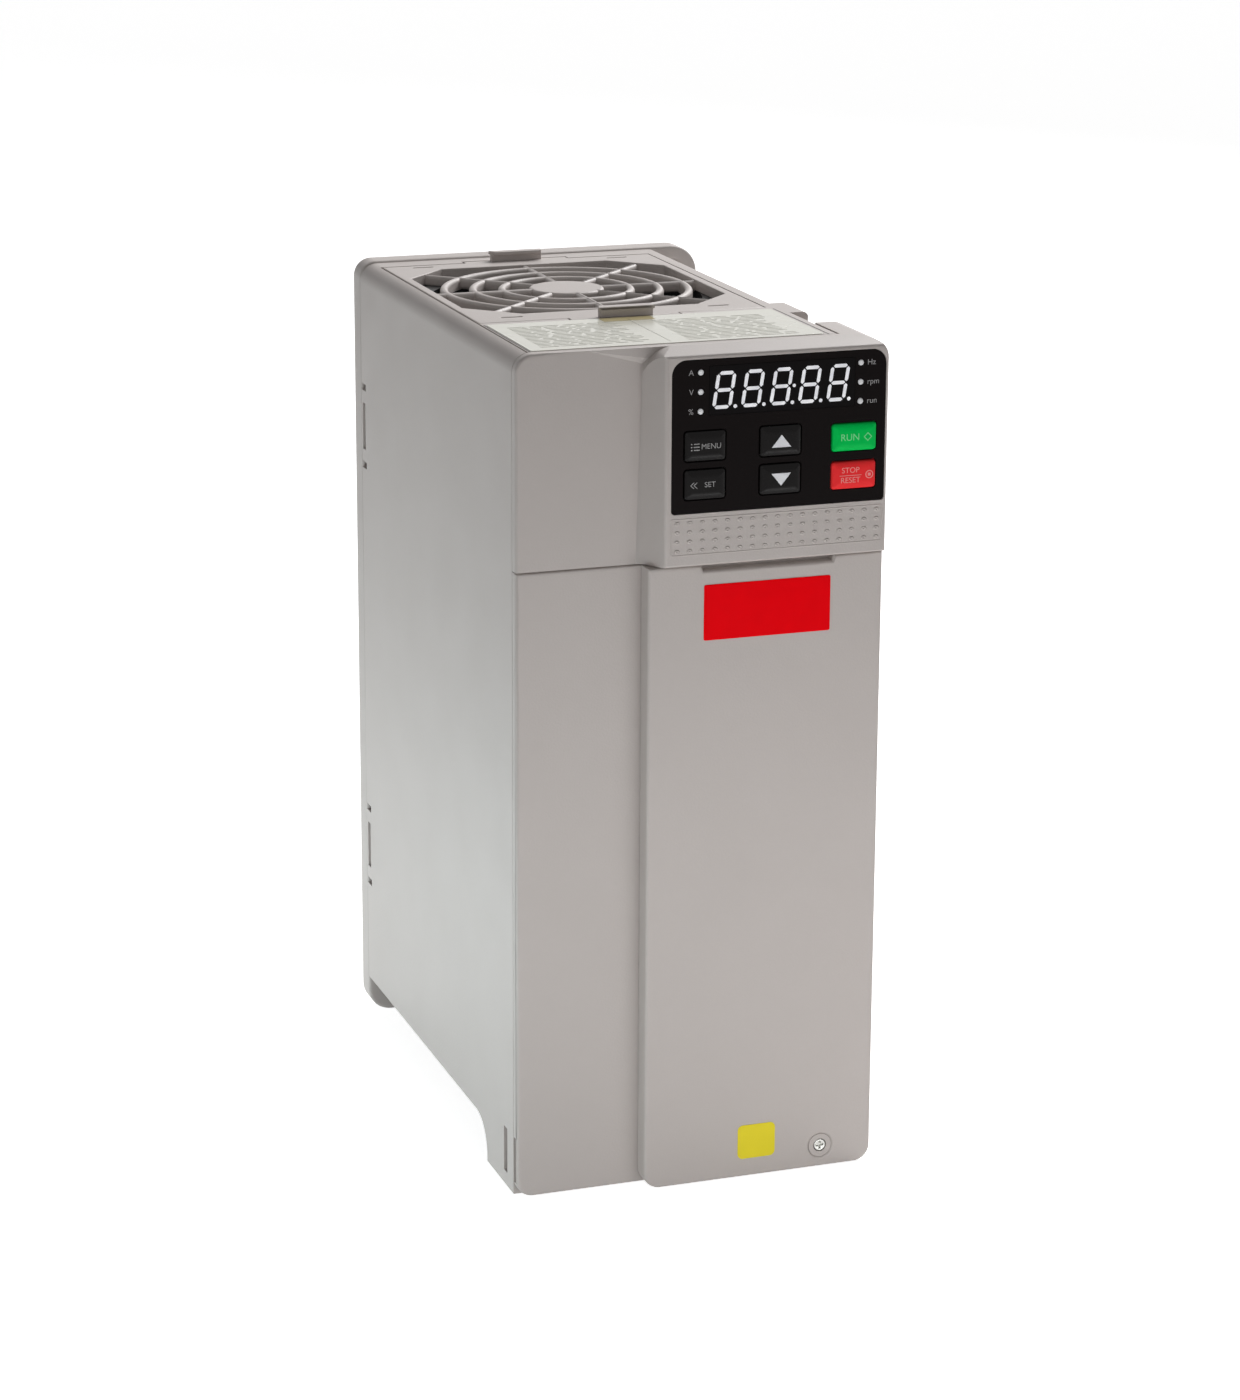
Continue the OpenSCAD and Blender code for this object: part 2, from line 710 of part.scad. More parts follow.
module fan_frame() {
    strut_t = 3;
    hole = fan_size * 0.894 / 2;
    color(dark) translate([fan_x, fan_y, 0]) {
        difference() {
            along_z(fan_floor_z, fan_top_z - fit)
                rounded([-fan_size / 2, -fan_size / 2], [fan_size / 2, fan_size / 2], [4, 4, 4, 4]);
            rod_z(0, 0, fan_floor_z - 1, fan_top_z + 1, fan_bore_r);
            for (sx = [-1, 1], sy = [-1, 1])
                rod_z(sx * hole, sy * hole, fan_floor_z - 1, fan_top_z + 1, 2.15);
        }
        difference() {
            union() {
                rod_z(0, 0, fan_floor_z, fan_floor_z + strut_t, motor_r - 0.5);
                rod_z(0, 0, fan_floor_z, fan_floor_z + 14, 4);
                for (i = [0 : 3]) rotate([0, 0, 45 + 90 * i])
                    translate([motor_r - 2, -1.5, fan_floor_z])
                        cube([fan_bore_r - motor_r + 3, 3, strut_t]);
            }
            rod_z(0, 0, fan_floor_z + 1.5, fan_floor_z + 15, shaft_r + bearing_gap);
        }
    }
}

module fan_impeller() {
    z0 = fan_floor_z + 4;
    z1 = fan_top_z - bar_h + fan_cover_t - 1.8;
    color("#2a2a2b") translate([fan_x, fan_y, 0]) {
        difference() {
            rod_z(0, 0, z0, z1, motor_r);
            rod_z(0, 0, z0 - 1, z1 - 2, motor_r - 1.5);
        }
        rod_z(0, 0, fan_floor_z + 2, z1 - 1, shaft_r);
        intersection() {
            difference() {
                rod_z(0, 0, z0 + 0.5, z1 - 0.5, fan_bore_r - blade_gap);
                rod_z(0, 0, z0 - 1, z1 + 1, motor_r - 0.7);
            }
            for (i = [0 : blade_count - 1])
                rotate([0, 0, i * 360 / blade_count])
                    translate([(fan_bore_r + motor_r) / 2, 0, (z0 + z1) / 2]) rotate([38, 0, 0])
                        cube([fan_bore_r - motor_r + 4, 27, 1.6], center = true);
        }
    }
}

module fan_plug() {
    y1 = fan_y - fan_size / 2;
    z0 = power_z[1] + socket_h + 0.3;
    color("#e8e4d8") {
        span([plug_x - plug_size.x / 2, y1 - plug_size.y, z0], [plug_x + plug_size.x / 2, y1, z0 + plug_size.z]);
        for (s = [-1, 1]) rod_z(plug_x + s * 2, y1 - plug_size.y / 2 - 2, z0 - 5, z0 + eps, pin_r);
    }
}

module fan_socket() {
    y1 = fan_y - fan_size / 2;
    color("#e8e4d8") difference() {
        span([plug_x - plug_size.x / 2, power_y - board_t, power_z[1]],
             [plug_x + plug_size.x / 2, y1 - 1, power_z[1] + socket_h]);
        for (s = [-1, 1])
            rod_z(plug_x + s * 2, y1 - plug_size.y / 2 - 2, power_z[1] + 2, power_z[1] + 10, pin_r + 0.25);
    }
}

// ---------------------------------------------------------------- power section

module heatsink() {
    x0 = in_left + 3.5;
    pitch = (in_right - 3.5 - fin_t - x0) / (fin_count - 1);
    color("#9da2a6") difference() {
        union() {
            span([in_left + fit, sink_y, sink_z[0]], [in_right - fit, sink_y + sink_base_t, sink_z[1]]);
            for (i = [0 : fin_count - 1])
                span([x0 + i * pitch, sink_y + sink_base_t - eps, sink_z[0]],
                     [x0 + i * pitch + fin_t, rear_y - fit, sink_z[1]]);
        }
        for (p = module_screw_places()) rod_y(p.x, p.y, sink_y - 1, sink_y + 6, module_screw_r + fit);
    }
}

// Where the power modules are screwed to the heat sink
function module_screw_places() = [
    for (s = [-1, 1]) module_at + [0, s * (module_size.y / 2 + module_tab / 2)],
    for (s = [-1, 1]) rectifier_at + [0, s * (rectifier_size.y / 2 + module_tab / 2)]
];

// Power semiconductor block with a screw tab above and below
module potted_block(at, size) {
    difference() {
        union() {
            span([at.x - size.x / 2, power_y, at.y - size.y / 2], [at.x + size.x / 2, sink_y, at.y + size.y / 2]);
            span([at.x - size.x / 2, sink_y - module_tab_t, at.y - size.y / 2 - module_tab],
                 [at.x + size.x / 2, sink_y, at.y + size.y / 2 + module_tab]);
        }
        for (s = [-1, 1])
            rod_y(at.x, at.y + s * (size.y / 2 + module_tab / 2), power_y - 1, sink_y + 1,
                  module_screw_r + fit);
    }
}

module power_module() {
    color("#2b2b2e") potted_block(module_at, module_size);
}

module rectifier() {
    color("#2b2b2e") potted_block(rectifier_at, rectifier_size);
}

module module_screws() {
    color(metal) for (p = module_screw_places())
        screw_y(p.x, p.y, sink_y - module_tab_t - 2.5, 2.5, 3.5, sink_y + 5, module_screw_r);
}

// Corner places of a board's screws, as X,Z
function board_places(x, z, inset) = [
    for (a = [x[0] + inset, x[1] - inset], b = [z[0] + inset, z[1] - inset]) [a, b]
];

function power_places() = board_places(power_x, [sink_z[0], power_z[1]], spacer_inset);
function control_places() = board_places(control_x, control_z, control_inset);

module power_board() {
    color(green_board) difference() {
        span([power_x[0], power_y - board_t, power_z[0]], [power_x[1], power_y, power_z[1]]);
        for (p = power_places()) rod_y(p.x, p.y, power_y - board_t - 1, power_y + 1, 1.7);
    }
}

module board_spacers() {
    color("#c9a85a") for (p = power_places()) difference() {
        rod_y(p.x, p.y, power_y, sink_y, spacer_r);
        rod_y(p.x, p.y, power_y - 1, sink_y - 2, 1.5);
    }
}

module board_screws() {
    color(metal) for (p = power_places())
        screw_y(p.x, p.y, power_y - board_t - 1.8, 1.8, 2.8, power_y + 6, 1.4);
}

module dc_capacitors() {
    color("#26364f") for (p = cap_at)
        rod_y(fan_x + p[0], floor_z + p[1], tray_front_y + tray_t + 1.2, power_y - board_t, cap_r);
}

module filter_choke() {
    color("#7a4a24") translate([choke_at.x, power_y - board_t, choke_at.y]) rotate([90, 0, 0])
        difference() {
            cylinder(h = choke_t, r = choke_r);
            translate([0, 0, -1]) cylinder(h = choke_t + 2, r = choke_r * 0.45);
        }
}

module bypass_relay() {
    y1 = power_y - board_t;
    color("#2a2f66") span([relay_at.x, y1 - relay_size.y, relay_at.y],
                          [relay_at.x + relay_size.x, y1, relay_at.y + relay_size.z]);
}

// X of the middle of one pole of the power terminal block
function pole_x(i) = fan_x + (i - (pole_count - 1) / 2) * pole_pitch;

module power_terminals() {
    y0 = power_y - board_t - block_d;
    color("#222324") difference() {
        span([pole_x(0) - pole_pitch / 2, y0, block_z],
             [pole_x(pole_count - 1) + pole_pitch / 2, power_y - board_t, block_z + block_h]);
        for (i = [0 : pole_count - 1]) {
            rod_y(pole_x(i), block_z + block_h - 8, y0 - 1, y0 + 8, 2.7);
            span([pole_x(i) - 2.4, y0 + 3, block_z - 1], [pole_x(i) + 2.4, y0 + 8, block_z + 9]);
        }
    }
}

module power_terminal_screws() {
    y0 = power_y - board_t - block_d;
    color(metal) for (i = [0 : pole_count - 1])
        screw_y(pole_x(i), block_z + block_h - 8, y0 + 2, 2, 2.4, y0 + 8, 1.6);
}

module earth_bar() {
    color(metal) difference() {
        span([fan_x - 15, entry_y[1] + entry_rim + 1, in_floor], [fan_x + 15, power_y - board_t - 1, in_floor + 2]);
        for (s = [-1, 1]) rod_z(fan_x + s * 8, entry_y[1] + entry_rim + 5.5, in_floor - 1, in_floor + 3, 2.1);
    }
}

module earth_screws() {
    color(metal) for (s = [-1, 1]) {
        rod_z(fan_x + s * 8, entry_y[1] + entry_rim + 5.5, in_floor + 2, in_floor + 4.4, 3.6);
        rod_z(fan_x + s * 8, entry_y[1] + entry_rim + 5.5, in_floor, in_floor + 2 + eps, 2);
    }
}

// ---------------------------------------------------------------- control section

module inner_tray() {
    color("#3b3b3d") difference() {
        union() {
            span([in_left + fit, tray_front_y, inner_tray_z[0]],
                 [in_right - fit, tray_front_y + tray_t, inner_tray_z[1]]);
            for (z = [inner_tray_z[0], inner_tray_z[1] - tray_t])
                span([in_left + fit, tray_front_y - tray_lip, z], [in_right - fit, tray_front_y + eps, z + tray_t]);
        }
        span([fan_x - 16, tray_front_y - 1, floor_z + 112], [fan_x + 16, tray_front_y + tray_t + 1, floor_z + 120]);
    }
}

module control_board() {
    color(green_board) difference() {
        span([control_x[0], control_y, control_z[0]], [control_x[1], control_y + board_t, control_z[1]]);
        for (p = control_places()) rod_y(p.x, p.y, control_y - 1, control_y + board_t + 1, 1.5);
    }
}

module control_spacers() {
    color("#c9a85a") for (p = control_places()) difference() {
        rod_y(p.x, p.y, control_y + board_t, tray_front_y, 2.4);
        rod_y(p.x, p.y, control_y + board_t - 1, tray_front_y + 1, 1.3);
    }
}

module control_screws() {
    color(metal) for (p = control_places())
        screw_y(p.x, p.y, control_y - 1.4, 1.4, 2.3, tray_front_y - 0.2, 1.2);
}

// Pluggable two-level terminal block, as wide as n poles
module plug_block(x, z, n) {
    pitch = 5;
    difference() {
        span([x, control_y - 11, z], [x + n * pitch, control_y, z + 10]);
        for (i = [0 : n - 1]) {
            rod_y(x + (i + 0.5) * pitch, z + 7, control_y - 12, control_y - 7, 1.5);
            span([x + i * pitch + 1, control_y - 12, z + 1.2], [x + (i + 1) * pitch - 1, control_y - 5, z + 4.2]);
        }
    }
}

module control_terminals() {
    color("#2f8f5a") {
        plug_block(bay_x[0] + 2, control_z[0] + 10, 8);
        plug_block(bay_x[0] + 2, control_z[0] + 24, 5);
    }
}

module control_terminal_screws() {
    color(metal) for (row = [[10, 8], [24, 5]]) for (i = [0 : row[1] - 1])
        rod_y(bay_x[0] + 2 + (i + 0.5) * 5, control_z[0] + row[0] + 7, control_y - 10, control_y - 7, 1.3);
}

module comms_jack() {
    x = bay_x[0] + 29;
    z = control_z[0] + 38;
    color("#3a3a3c") difference() {
        span([x, control_y - 12, z], [x + 15, control_y, z + 13]);
        span([x + 2, control_y - 13, z + 2], [x + 13, control_y - 2, z + 9]);
    }
}

module processor() {
    color(dark) span([fan_x - 16, control_y - 1.2, floor_z + 124], [fan_x - 2, control_y, floor_z + 138]);
}

module board_link() {
    color(dark) span([fan_x - 13, control_y + board_t, floor_z + 113.5],
                     [fan_x + 13, power_y - board_t, floor_z + 118.5]);
}

// ---------------------------------------------------------------- keypad

// Outline of one key, grown by a gap; col and row count from the lower left
module key_outline(col, row, gap) {
    lo = [panel_x + key_cols[col], panel_z + key_rows[row]];
    hi = lo + [key_widths[col], key_heights[col]];
    r = key_corner_r + gap;
    rounded(lo - [gap, gap], hi + [gap, gap], [r, r, r, r]);
}

// Middle of one key, as X,Z
function key_centre(col, row) = [panel_x + key_cols[col] + key_widths[col] / 2,
                                 panel_z + key_rows[row] + key_heights[col] / 2];

module keypad_panel() {
    color(dark) difference() {
        along_y(key_face_y, panel_back_y)
            rounded([panel_x + fit, panel_z + fit], [panel_x + panel_w - fit, panel_z + panel_h - fit],
                    [1, 1, 4, 4]);
        for (col = [0 : 2], row = [0 : 1])
            along_y(key_face_y - 1, panel_back_y + 1) key_outline(col, row, key_gap);
        span([panel_x + window_at.x, key_face_y - 1, panel_z + window_at.y],
             [panel_x + window_at.x + window_size.x, panel_back_y + 1, panel_z + window_at.y + window_size.y]);
        for (p = led_at) rod_y(panel_x + p.x, panel_z + p.y, key_face_y - 1, panel_back_y + 1, led_r + fit);
    }
}

module display_window() {
    color([0.05, 0.05, 0.05, 0.8])
        span([panel_x + window_at.x + fit, key_face_y, panel_z + window_at.y + fit],
             [panel_x + window_at.x + window_size.x - fit, panel_back_y,
              panel_z + window_at.y + window_size.y - fit]);
}

module display_module() {
    color("#0f0f10")
        span([panel_x + window_at.x + 0.3, panel_back_y + 0.2, panel_z + window_at.y + 0.3],
             [panel_x + window_at.x + window_size.x - 0.3, keypad_board_y,
              panel_z + window_at.y + window_size.y - 0.3]);
}

module indicator_leds() {
    color("white") for (p = led_at)
        rod_y(panel_x + p.x, panel_z + p.y, key_face_y, keypad_board_y, led_r);
}

module keypad_board() {
    color(green_board) difference() {
        span([panel_x + 2, keypad_board_y, split_z + wall + 2],
             [right_x - wall - 0.3, keypad_board_y + board_t, top_z - wall - 0.4]);
        for (x = [panel_x + 5, panel_x + panel_w - 6])
            rod_y(x, split_z + 8, keypad_board_y - 1, keypad_board_y + board_t + 1, 1.1);
    }
}

module keypad_screws() {
    y = keypad_board_y + board_t;
    color(metal) for (x = [panel_x + 5, panel_x + panel_w - 6]) {
        rod_y(x, split_z + 8, y, y + 1.3, 2);
        rod_y(x, split_z + 8, bezel_inner_y + 1.5, y + eps, 0.8);
    }
}

module key_switches() {
    color("#3c3c3e") for (col = [0 : 2], row = [0 : 1]) {
        c = key_centre(col, row);
        span([c.x - 3, keypad_board_y - switch_h, c.y - 3], [c.x + 3, keypad_board_y, c.y + 3]);
    }
}

module ribbon_connectors() {
    color("#d9d3c4") {
        span([ribbon_x[0] - 1, keypad_board_y + board_t, split_z + wall + 4],
             [ribbon_x[1] + 1, ribbon_y, split_z + wall + 9]);
        span([ribbon_x[0] - 1, ribbon_y + ribbon_t, control_z[1] - 8],
             [ribbon_x[1] + 1, control_y, control_z[1] - 3]);
    }
}

module ribbon_cable() {
    color("#9aa0a8") span([ribbon_x[0], ribbon_y, control_z[1] - 8],
                          [ribbon_x[1], ribbon_y + ribbon_t, split_z + wall + 9]);
}

// One key: the cap, the flange that keeps it behind the panel, and the stem
module panel_key(col, row) {
    c = key_centre(col, row);
    flange_y = panel_back_y + key_gap;
    along_y(key_face_y - key_proud, flange_y + eps) key_outline(col, row, 0);
    along_y(flange_y, flange_y + flange_t) key_outline(col, row, flange_w);
    rod_y(c.x, c.y, flange_y + flange_t - eps,
          keypad_board_y - switch_h - key_travel - switch_gap, key_stem_r);
}

module key_menu() {
    color(dark) panel_key(0, 1);
}

module key_select() {
    color(dark) panel_key(0, 0);
}

module key_up() {
    color(dark) panel_key(1, 1);
}

module key_down() {
    color(dark) panel_key(1, 0);
}

module key_run() {
    color("#0aa050") panel_key(2, 1);
}

module key_stop() {
    color("#e02030") panel_key(2, 0);
}

// ---------------------------------------------------------------- assembly

housing();
back_plate();
upper_shell();
lower_shell();
terminal_cover();
cover_screw();
cable_plate();
cable_grommets();
rating_label();
front_label();
plain_sticker();
fan_cover();
fan_frame();
fan_impeller();
fan_plug();
fan_socket();
heatsink();
power_module();
rectifier();
module_screws();
power_board();
board_spacers();
board_screws();
dc_capacitors();
filter_choke();
bypass_relay();
power_terminals();
power_terminal_screws();
earth_bar();
earth_screws();
inner_tray();
control_board();
control_spacers();
control_screws();
control_terminals();
control_terminal_screws();
comms_jack();
processor();
board_link();
keypad_panel();
display_window();
display_module();
indicator_leds();
keypad_board();
keypad_screws();
key_switches();
ribbon_connectors();
ribbon_cable();
key_menu();
key_select();
key_up();
key_down();
key_run();
key_stop();
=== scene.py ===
"""Variable frequency drive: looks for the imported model, with its studio and camera."""

import json
import math
import random

import bmesh
import bpy
from mathutils import Matrix, Vector


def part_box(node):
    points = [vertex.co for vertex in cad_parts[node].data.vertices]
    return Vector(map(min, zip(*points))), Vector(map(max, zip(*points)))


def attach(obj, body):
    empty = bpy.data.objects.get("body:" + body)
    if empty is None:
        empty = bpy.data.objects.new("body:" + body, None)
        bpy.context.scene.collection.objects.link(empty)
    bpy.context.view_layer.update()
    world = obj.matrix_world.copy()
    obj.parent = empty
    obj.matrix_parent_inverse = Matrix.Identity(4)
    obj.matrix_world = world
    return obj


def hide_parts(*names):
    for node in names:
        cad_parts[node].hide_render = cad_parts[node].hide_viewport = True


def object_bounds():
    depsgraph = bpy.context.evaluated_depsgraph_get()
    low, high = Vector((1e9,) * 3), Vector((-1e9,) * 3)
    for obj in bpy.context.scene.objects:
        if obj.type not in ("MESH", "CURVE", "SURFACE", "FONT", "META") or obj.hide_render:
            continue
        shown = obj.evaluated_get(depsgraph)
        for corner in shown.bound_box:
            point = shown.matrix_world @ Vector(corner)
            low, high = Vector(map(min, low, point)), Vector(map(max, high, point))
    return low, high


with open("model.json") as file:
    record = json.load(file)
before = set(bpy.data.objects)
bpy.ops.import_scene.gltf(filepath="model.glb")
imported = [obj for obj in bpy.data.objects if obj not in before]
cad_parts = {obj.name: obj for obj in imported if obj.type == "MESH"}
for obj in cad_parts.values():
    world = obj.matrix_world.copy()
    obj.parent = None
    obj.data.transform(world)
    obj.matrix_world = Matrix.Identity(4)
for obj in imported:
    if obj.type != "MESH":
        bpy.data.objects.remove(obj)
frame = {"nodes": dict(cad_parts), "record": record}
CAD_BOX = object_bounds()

NODES = frame["nodes"]
MM = 0.001


# ---------------------------------------------------------------- camera

CAMERA_AT = Vector((-0.3328, -1.0387, 0.2919))
CAMERA_YAW, CAMERA_PITCH, CAMERA_ROLL = 0.3366, 0.2509, -0.0047
FOCAL_PIXELS, IMAGE_HEIGHT = 3720.5, 1400
CAMERA_SHIFT = -0.08


def make_camera():
    """The main view, from the front left: turned to the right, tilted down and slightly rolled."""
    forward = Vector((
        math.sin(CAMERA_YAW) * math.cos(CAMERA_PITCH),
        math.cos(CAMERA_YAW) * math.cos(CAMERA_PITCH),
        -math.sin(CAMERA_PITCH),
    ))
    level = Vector((math.cos(CAMERA_YAW), -math.sin(CAMERA_YAW), 0))
    down = forward.cross(level)
    right = level * math.cos(CAMERA_ROLL) + down * math.sin(CAMERA_ROLL)
    down = forward.cross(right)
    data = bpy.data.cameras.new("camera")
    data.sensor_width = 36
    data.lens = FOCAL_PIXELS / IMAGE_HEIGHT * data.sensor_width
    data.shift_y = CAMERA_SHIFT
    data.clip_start, data.clip_end = 0.05, 30
    camera = bpy.data.objects.new("camera", data)
    bpy.context.scene.collection.objects.link(camera)
    turn = Matrix((right, -down, -forward)).transposed().to_4x4()
    camera.matrix_world = Matrix.Translation(CAMERA_AT) @ turn
    bpy.context.scene.camera = camera


# ---------------------------------------------------------------- materials

def srgb(r, g, b):
    """A colour written as 0 to 255 in sRGB, as the linear colour that a shader takes."""
    def linear(c):
        c /= 255
        return c / 12.92 if c <= 0.04045 else ((c + 0.055) / 1.055) ** 2.4
    return (linear(r), linear(g), linear(b), 1)


class Material:
    """A procedural material: one Principled shader and the nodes that feed it."""

    def __init__(self, name, **sockets):
        self.material = bpy.data.materials.new(name)
        self.material.use_nodes = True
        self.tree = self.material.node_tree
        self.shader = self.tree.nodes["Principled BSDF"]
        for key, value in sockets.items():
            self.shader.inputs[key.replace("_", " ")].default_value = value
        self.where = self.tree.nodes.new("ShaderNodeTexCoord").outputs["Object"]

    def node(self, kind, inputs=None, **settings):
        made = self.tree.nodes.new(kind)
        for key, value in settings.items():
            setattr(made, key, value)
        for key, value in (inputs or {}).items():
            if isinstance(value, bpy.types.NodeSocket):
                self.tree.links.new(value, made.inputs[key])
            else:
                made.inputs[key].default_value = value
        return made

    def link(self, output, socket):
        self.tree.links.new(output, self.shader.inputs[socket])

    def noise(self, scale, detail=3.0, stretch=(1, 1, 1), rough=0.5):
        """Noise with that many features to the metre, stretched along an axis if asked."""
        where = self.node("ShaderNodeMapping", {"Vector": self.where, "Scale": stretch})
        made = self.node("ShaderNodeTexNoise", {
            "Vector": where.outputs["Vector"], "Scale": scale, "Detail": detail, "Roughness": rough})
        return made.outputs["Fac"]

    def ramp(self, value, *stops):
        """A colour ramp through (place, colour) stops."""
        made = self.node("ShaderNodeValToRGB", {"Fac": value})
        elements = made.color_ramp.elements
        while len(elements) < len(stops):
            elements.new(0.5)
        for element, (place, colour) in zip(elements, stops):
            element.position = place
            element.color = colour
        return made.outputs["Color"]

    def spread(self, value, low, high, start=0.3, end=0.7):
        """Maps value from start..end to low..high."""
        made = self.node("ShaderNodeMapRange", {
            "Value": value, "From Min": start, "From Max": end, "To Min": low, "To Max": high})
        return made.outputs["Result"]

    def bump(self, *layers):
        """Stacks bump layers, each (height, distance in metres, strength)."""
        normal = None
        for height, distance, strength in layers:
            inputs = {"Height": height, "Distance": distance, "Strength": strength}
            if normal:
                inputs["Normal"] = normal
            normal = self.node("ShaderNodeBump", inputs).outputs["Normal"]
        self.link(normal, "Normal")


def shade(colour, factor):
    """The same colour, lighter or darker."""
    return tuple(min(1, c * factor) for c in colour[:3]) + (1,)


def moulded(name, colour, roughness=0.5, grain=0.35, speckle=0.03, specular=0.4):
    """Moulded plastic: a fine spark-eroded grain, slight clouding and slightly uneven gloss."""
    made = Material(name, Specular_IOR_Level=specular)
    cloud = made.noise(22, 2)
    fine = made.noise(2600, 2)
    mix = made.node("ShaderNodeMath", {0: cloud, 1: fine}, operation="ADD")
    half = made.node("ShaderNodeMath", {0: mix.outputs[0], 1: 0.5}, operation="MULTIPLY")
    made.link(made.ramp(half.outputs[0], (0.35, shade(colour, 1 - speckle)),
                        (0.65, shade(colour, 1 + speckle))), "Base Color")
    made.link(made.spread(made.noise(60, 3), roughness - 0.02, roughness + 0.03), "Roughness")
    pits = made.node("ShaderNodeTexVoronoi", {"Vector": made.where, "Scale": 1500.0})
    made.bump((pits.outputs["Distance"], 0.00006, grain), (made.noise(3200, 3), 0.00005, grain))
    return made.material


def metal(name, colour, roughness=0.32, brushed=(1, 1, 30)):
    """Plated or milled metal with fine drawn lines."""
    made = Material(name, Metallic=1.0)
    lines = made.noise(900, 4, stretch=brushed)
    made.link(made.ramp(lines, (0.3, shade(colour, 0.86)), (0.7, shade(colour, 1.08))), "Base Color")
    made.link(made.spread(lines, roughness - 0.07, roughness + 0.1), "Roughness")
    made.bump((lines, 0.00003, 0.3))
    return made.material


def label(name, colour, roughness=0.3, coat=0.35, specular=0.4):
    """A printed film label: smooth, with faint fibre clouding under a coat."""
    made = Material(name, Coat_Weight=coat, Coat_Roughness=0.12, Specular_IOR_Level=specular)
    made.link(made.ramp(made.noise(160, 4), (0.3, shade(colour, 0.97)),
                        (0.7, shade(colour, 1.02))), "Base Color")
    made.link(made.spread(made.noise(45, 2), roughness - 0.04, roughness + 0.06), "Roughness")
    made.bump((made.noise(300, 2), 0.00003, 0.25))
    return made.material


def board(name, colour):
    """Solder mask over faint copper traces."""
    made = Material(name, Coat_Weight=0.5, Coat_Roughness=0.1, Roughness=0.4)
    where = made.node("ShaderNodeMapping", {"Vector": made.where, "Scale": (1, 1, 0.3)})
    traces = made.node("ShaderNodeTexBrick", {
        "Vector": where.outputs["Vector"], "Scale": 260.0, "Color1": colour,
        "Color2": shade(colour, 0.82), "Mortar": shade(colour, 1.5), "Mortar Size": 0.012})
    made.link(traces.outputs["Color"], "Base Color")
    made.bump((traces.outputs["Fac"], 0.00004, 0.3), (made.noise(900, 2), 0.00002, 0.2))
    return made.material


CASE = srgb(190, 182, 178)
MATERIALS = {
    "case_plastic": moulded("case_plastic", CASE, roughness=0.48, speckle=0.012),
    "panel_black": moulded("panel_black", srgb(13, 8, 8), 0.38, grain=0.12, speckle=0.08, specular=0.05),
    "display_smoke": moulded("display_smoke", srgb(8, 5, 6), 0.22, grain=0.02, speckle=0.05, specular=0.06),
    "key_black": moulded("key_black", srgb(10, 7, 7), 0.26, grain=0.08, speckle=0.08, specular=0.12),
    "key_green": moulded("key_green", srgb(0, 205, 88), 0.35, grain=0.08, specular=0.05),
    "key_red": moulded("key_red", srgb(255, 55, 58), 0.35, grain=0.08, specular=0.05),
    "led_white": moulded("led_white", srgb(238, 238, 240), 0.3, grain=0.05),
    "label_red": label("label_red", srgb(248, 0, 14), 0.5, coat=0, specular=0.03),
    # The top label's colour is its own khaki made pale by a painted reflection of the white surroundings.
    "label_cream": label("label_cream", srgb(212, 210, 196), 0.26),
    "label_yellow": label("label_yellow", srgb(240, 222, 56), 0.45, coat=0, specular=0.06),
    "rubber_black": moulded("rubber_black", srgb(30, 30, 31), 0.72, grain=0.6),
    "fan_black": moulded("fan_black", srgb(20, 20, 21), 0.42, grain=0.25),
    "aluminium": metal("aluminium", srgb(200, 202, 205), 0.36),
    "steel_zinc": metal("steel_zinc", srgb(196, 196, 192), 0.28),
    "brass": metal("brass", srgb(206, 172, 96), 0.3),
    "board_green": board("board_green", srgb(20, 92, 52)),
    "moulded_black": moulded("moulded_black", srgb(32, 32, 34), 0.5),
    "capacitor_blue": label("capacitor_blue", srgb(28, 52, 104)),
    "copper_enamel": metal("copper_enamel", srgb(190, 104, 60), 0.3),
    "relay_blue": moulded("relay_blue", srgb(40, 84, 150), 0.4),
    "terminal_green": moulded("terminal_green", srgb(52, 140, 88), 0.45),
    "connector_cream": moulded("connector_cream", srgb(228, 222, 204), 0.45),
    "tray_grey": moulded("tray_grey", srgb(64, 64, 66), 0.5),
    "ribbon_grey": moulded("ribbon_grey", srgb(150, 153, 158), 0.5),
}

PRINT_WHITE = moulded("print_white", srgb(236, 236, 240), 0.4, grain=0.02)
PRINT_PALE = moulded("print_pale", srgb(150, 148, 148), 0.4, grain=0.02)
PRINT_GREEN = moulded("print_green", srgb(120, 226, 150), 0.4, grain=0.02)
PRINT_PINK = moulded("print_pink", srgb(255, 150, 146), 0.4, grain=0.02)
PRINT_GREY = moulded("print_grey", srgb(197, 196, 186), 0.4, grain=0.02)
# Dark film of painted shade, laid in the gaps beside the top label.
GAP_SHADE_DARK = moulded("gap_shade_dark", srgb(70, 66, 62), 0.5, grain=0.02)
# Tan film of painted shade, for the top label in front of the fan clip.
CLIP_SHADE_TAN = label("clip_shade_tan", srgb(178, 164, 116))


def lit_material():
    """Lit display segments: bright white that glows a little, uneven like a real lamp."""
    made = Material("lit_white", Roughness=0.4)
    cloud = made.noise(400, 2)
    made.link(made.ramp(cloud, (0.3, srgb(228, 228, 236)), (0.7, srgb(246, 246, 250))), "Base Color")
    made.shader.inputs["Emission Color"].default_value = (1, 1, 1, 1)
    made.link(made.spread(cloud, 0.16, 0.24), "Emission Strength")
    return made.material


LIT = lit_material()


# ---------------------------------------------------------------- the CAD nodes

def dress_nodes():
    """Gives every CAD node its slot's material."""
    for part in frame["record"]["subparts"]:
        obj = NODES[part["node"]]
        obj.data.materials.clear()
        obj.data.materials.append(MATERIALS[part["material_slot"]])


# ---------------------------------------------------------------- shaping tools

WELD = 0.000002  # metres within which two points are one
SHARP = 25  # degrees from which an edge can be picked for rounding


def slot_of(node):
    """The material slot that the record gives a CAD node."""
    return next(p["material_slot"] for p in frame["record"]["subparts"] if p["node"] == node)


def mm_box(node):
    """A CAD node's box in millimetres."""
    lo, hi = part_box(node)
    return [c / MM for c in lo], [c / MM for c in hi]


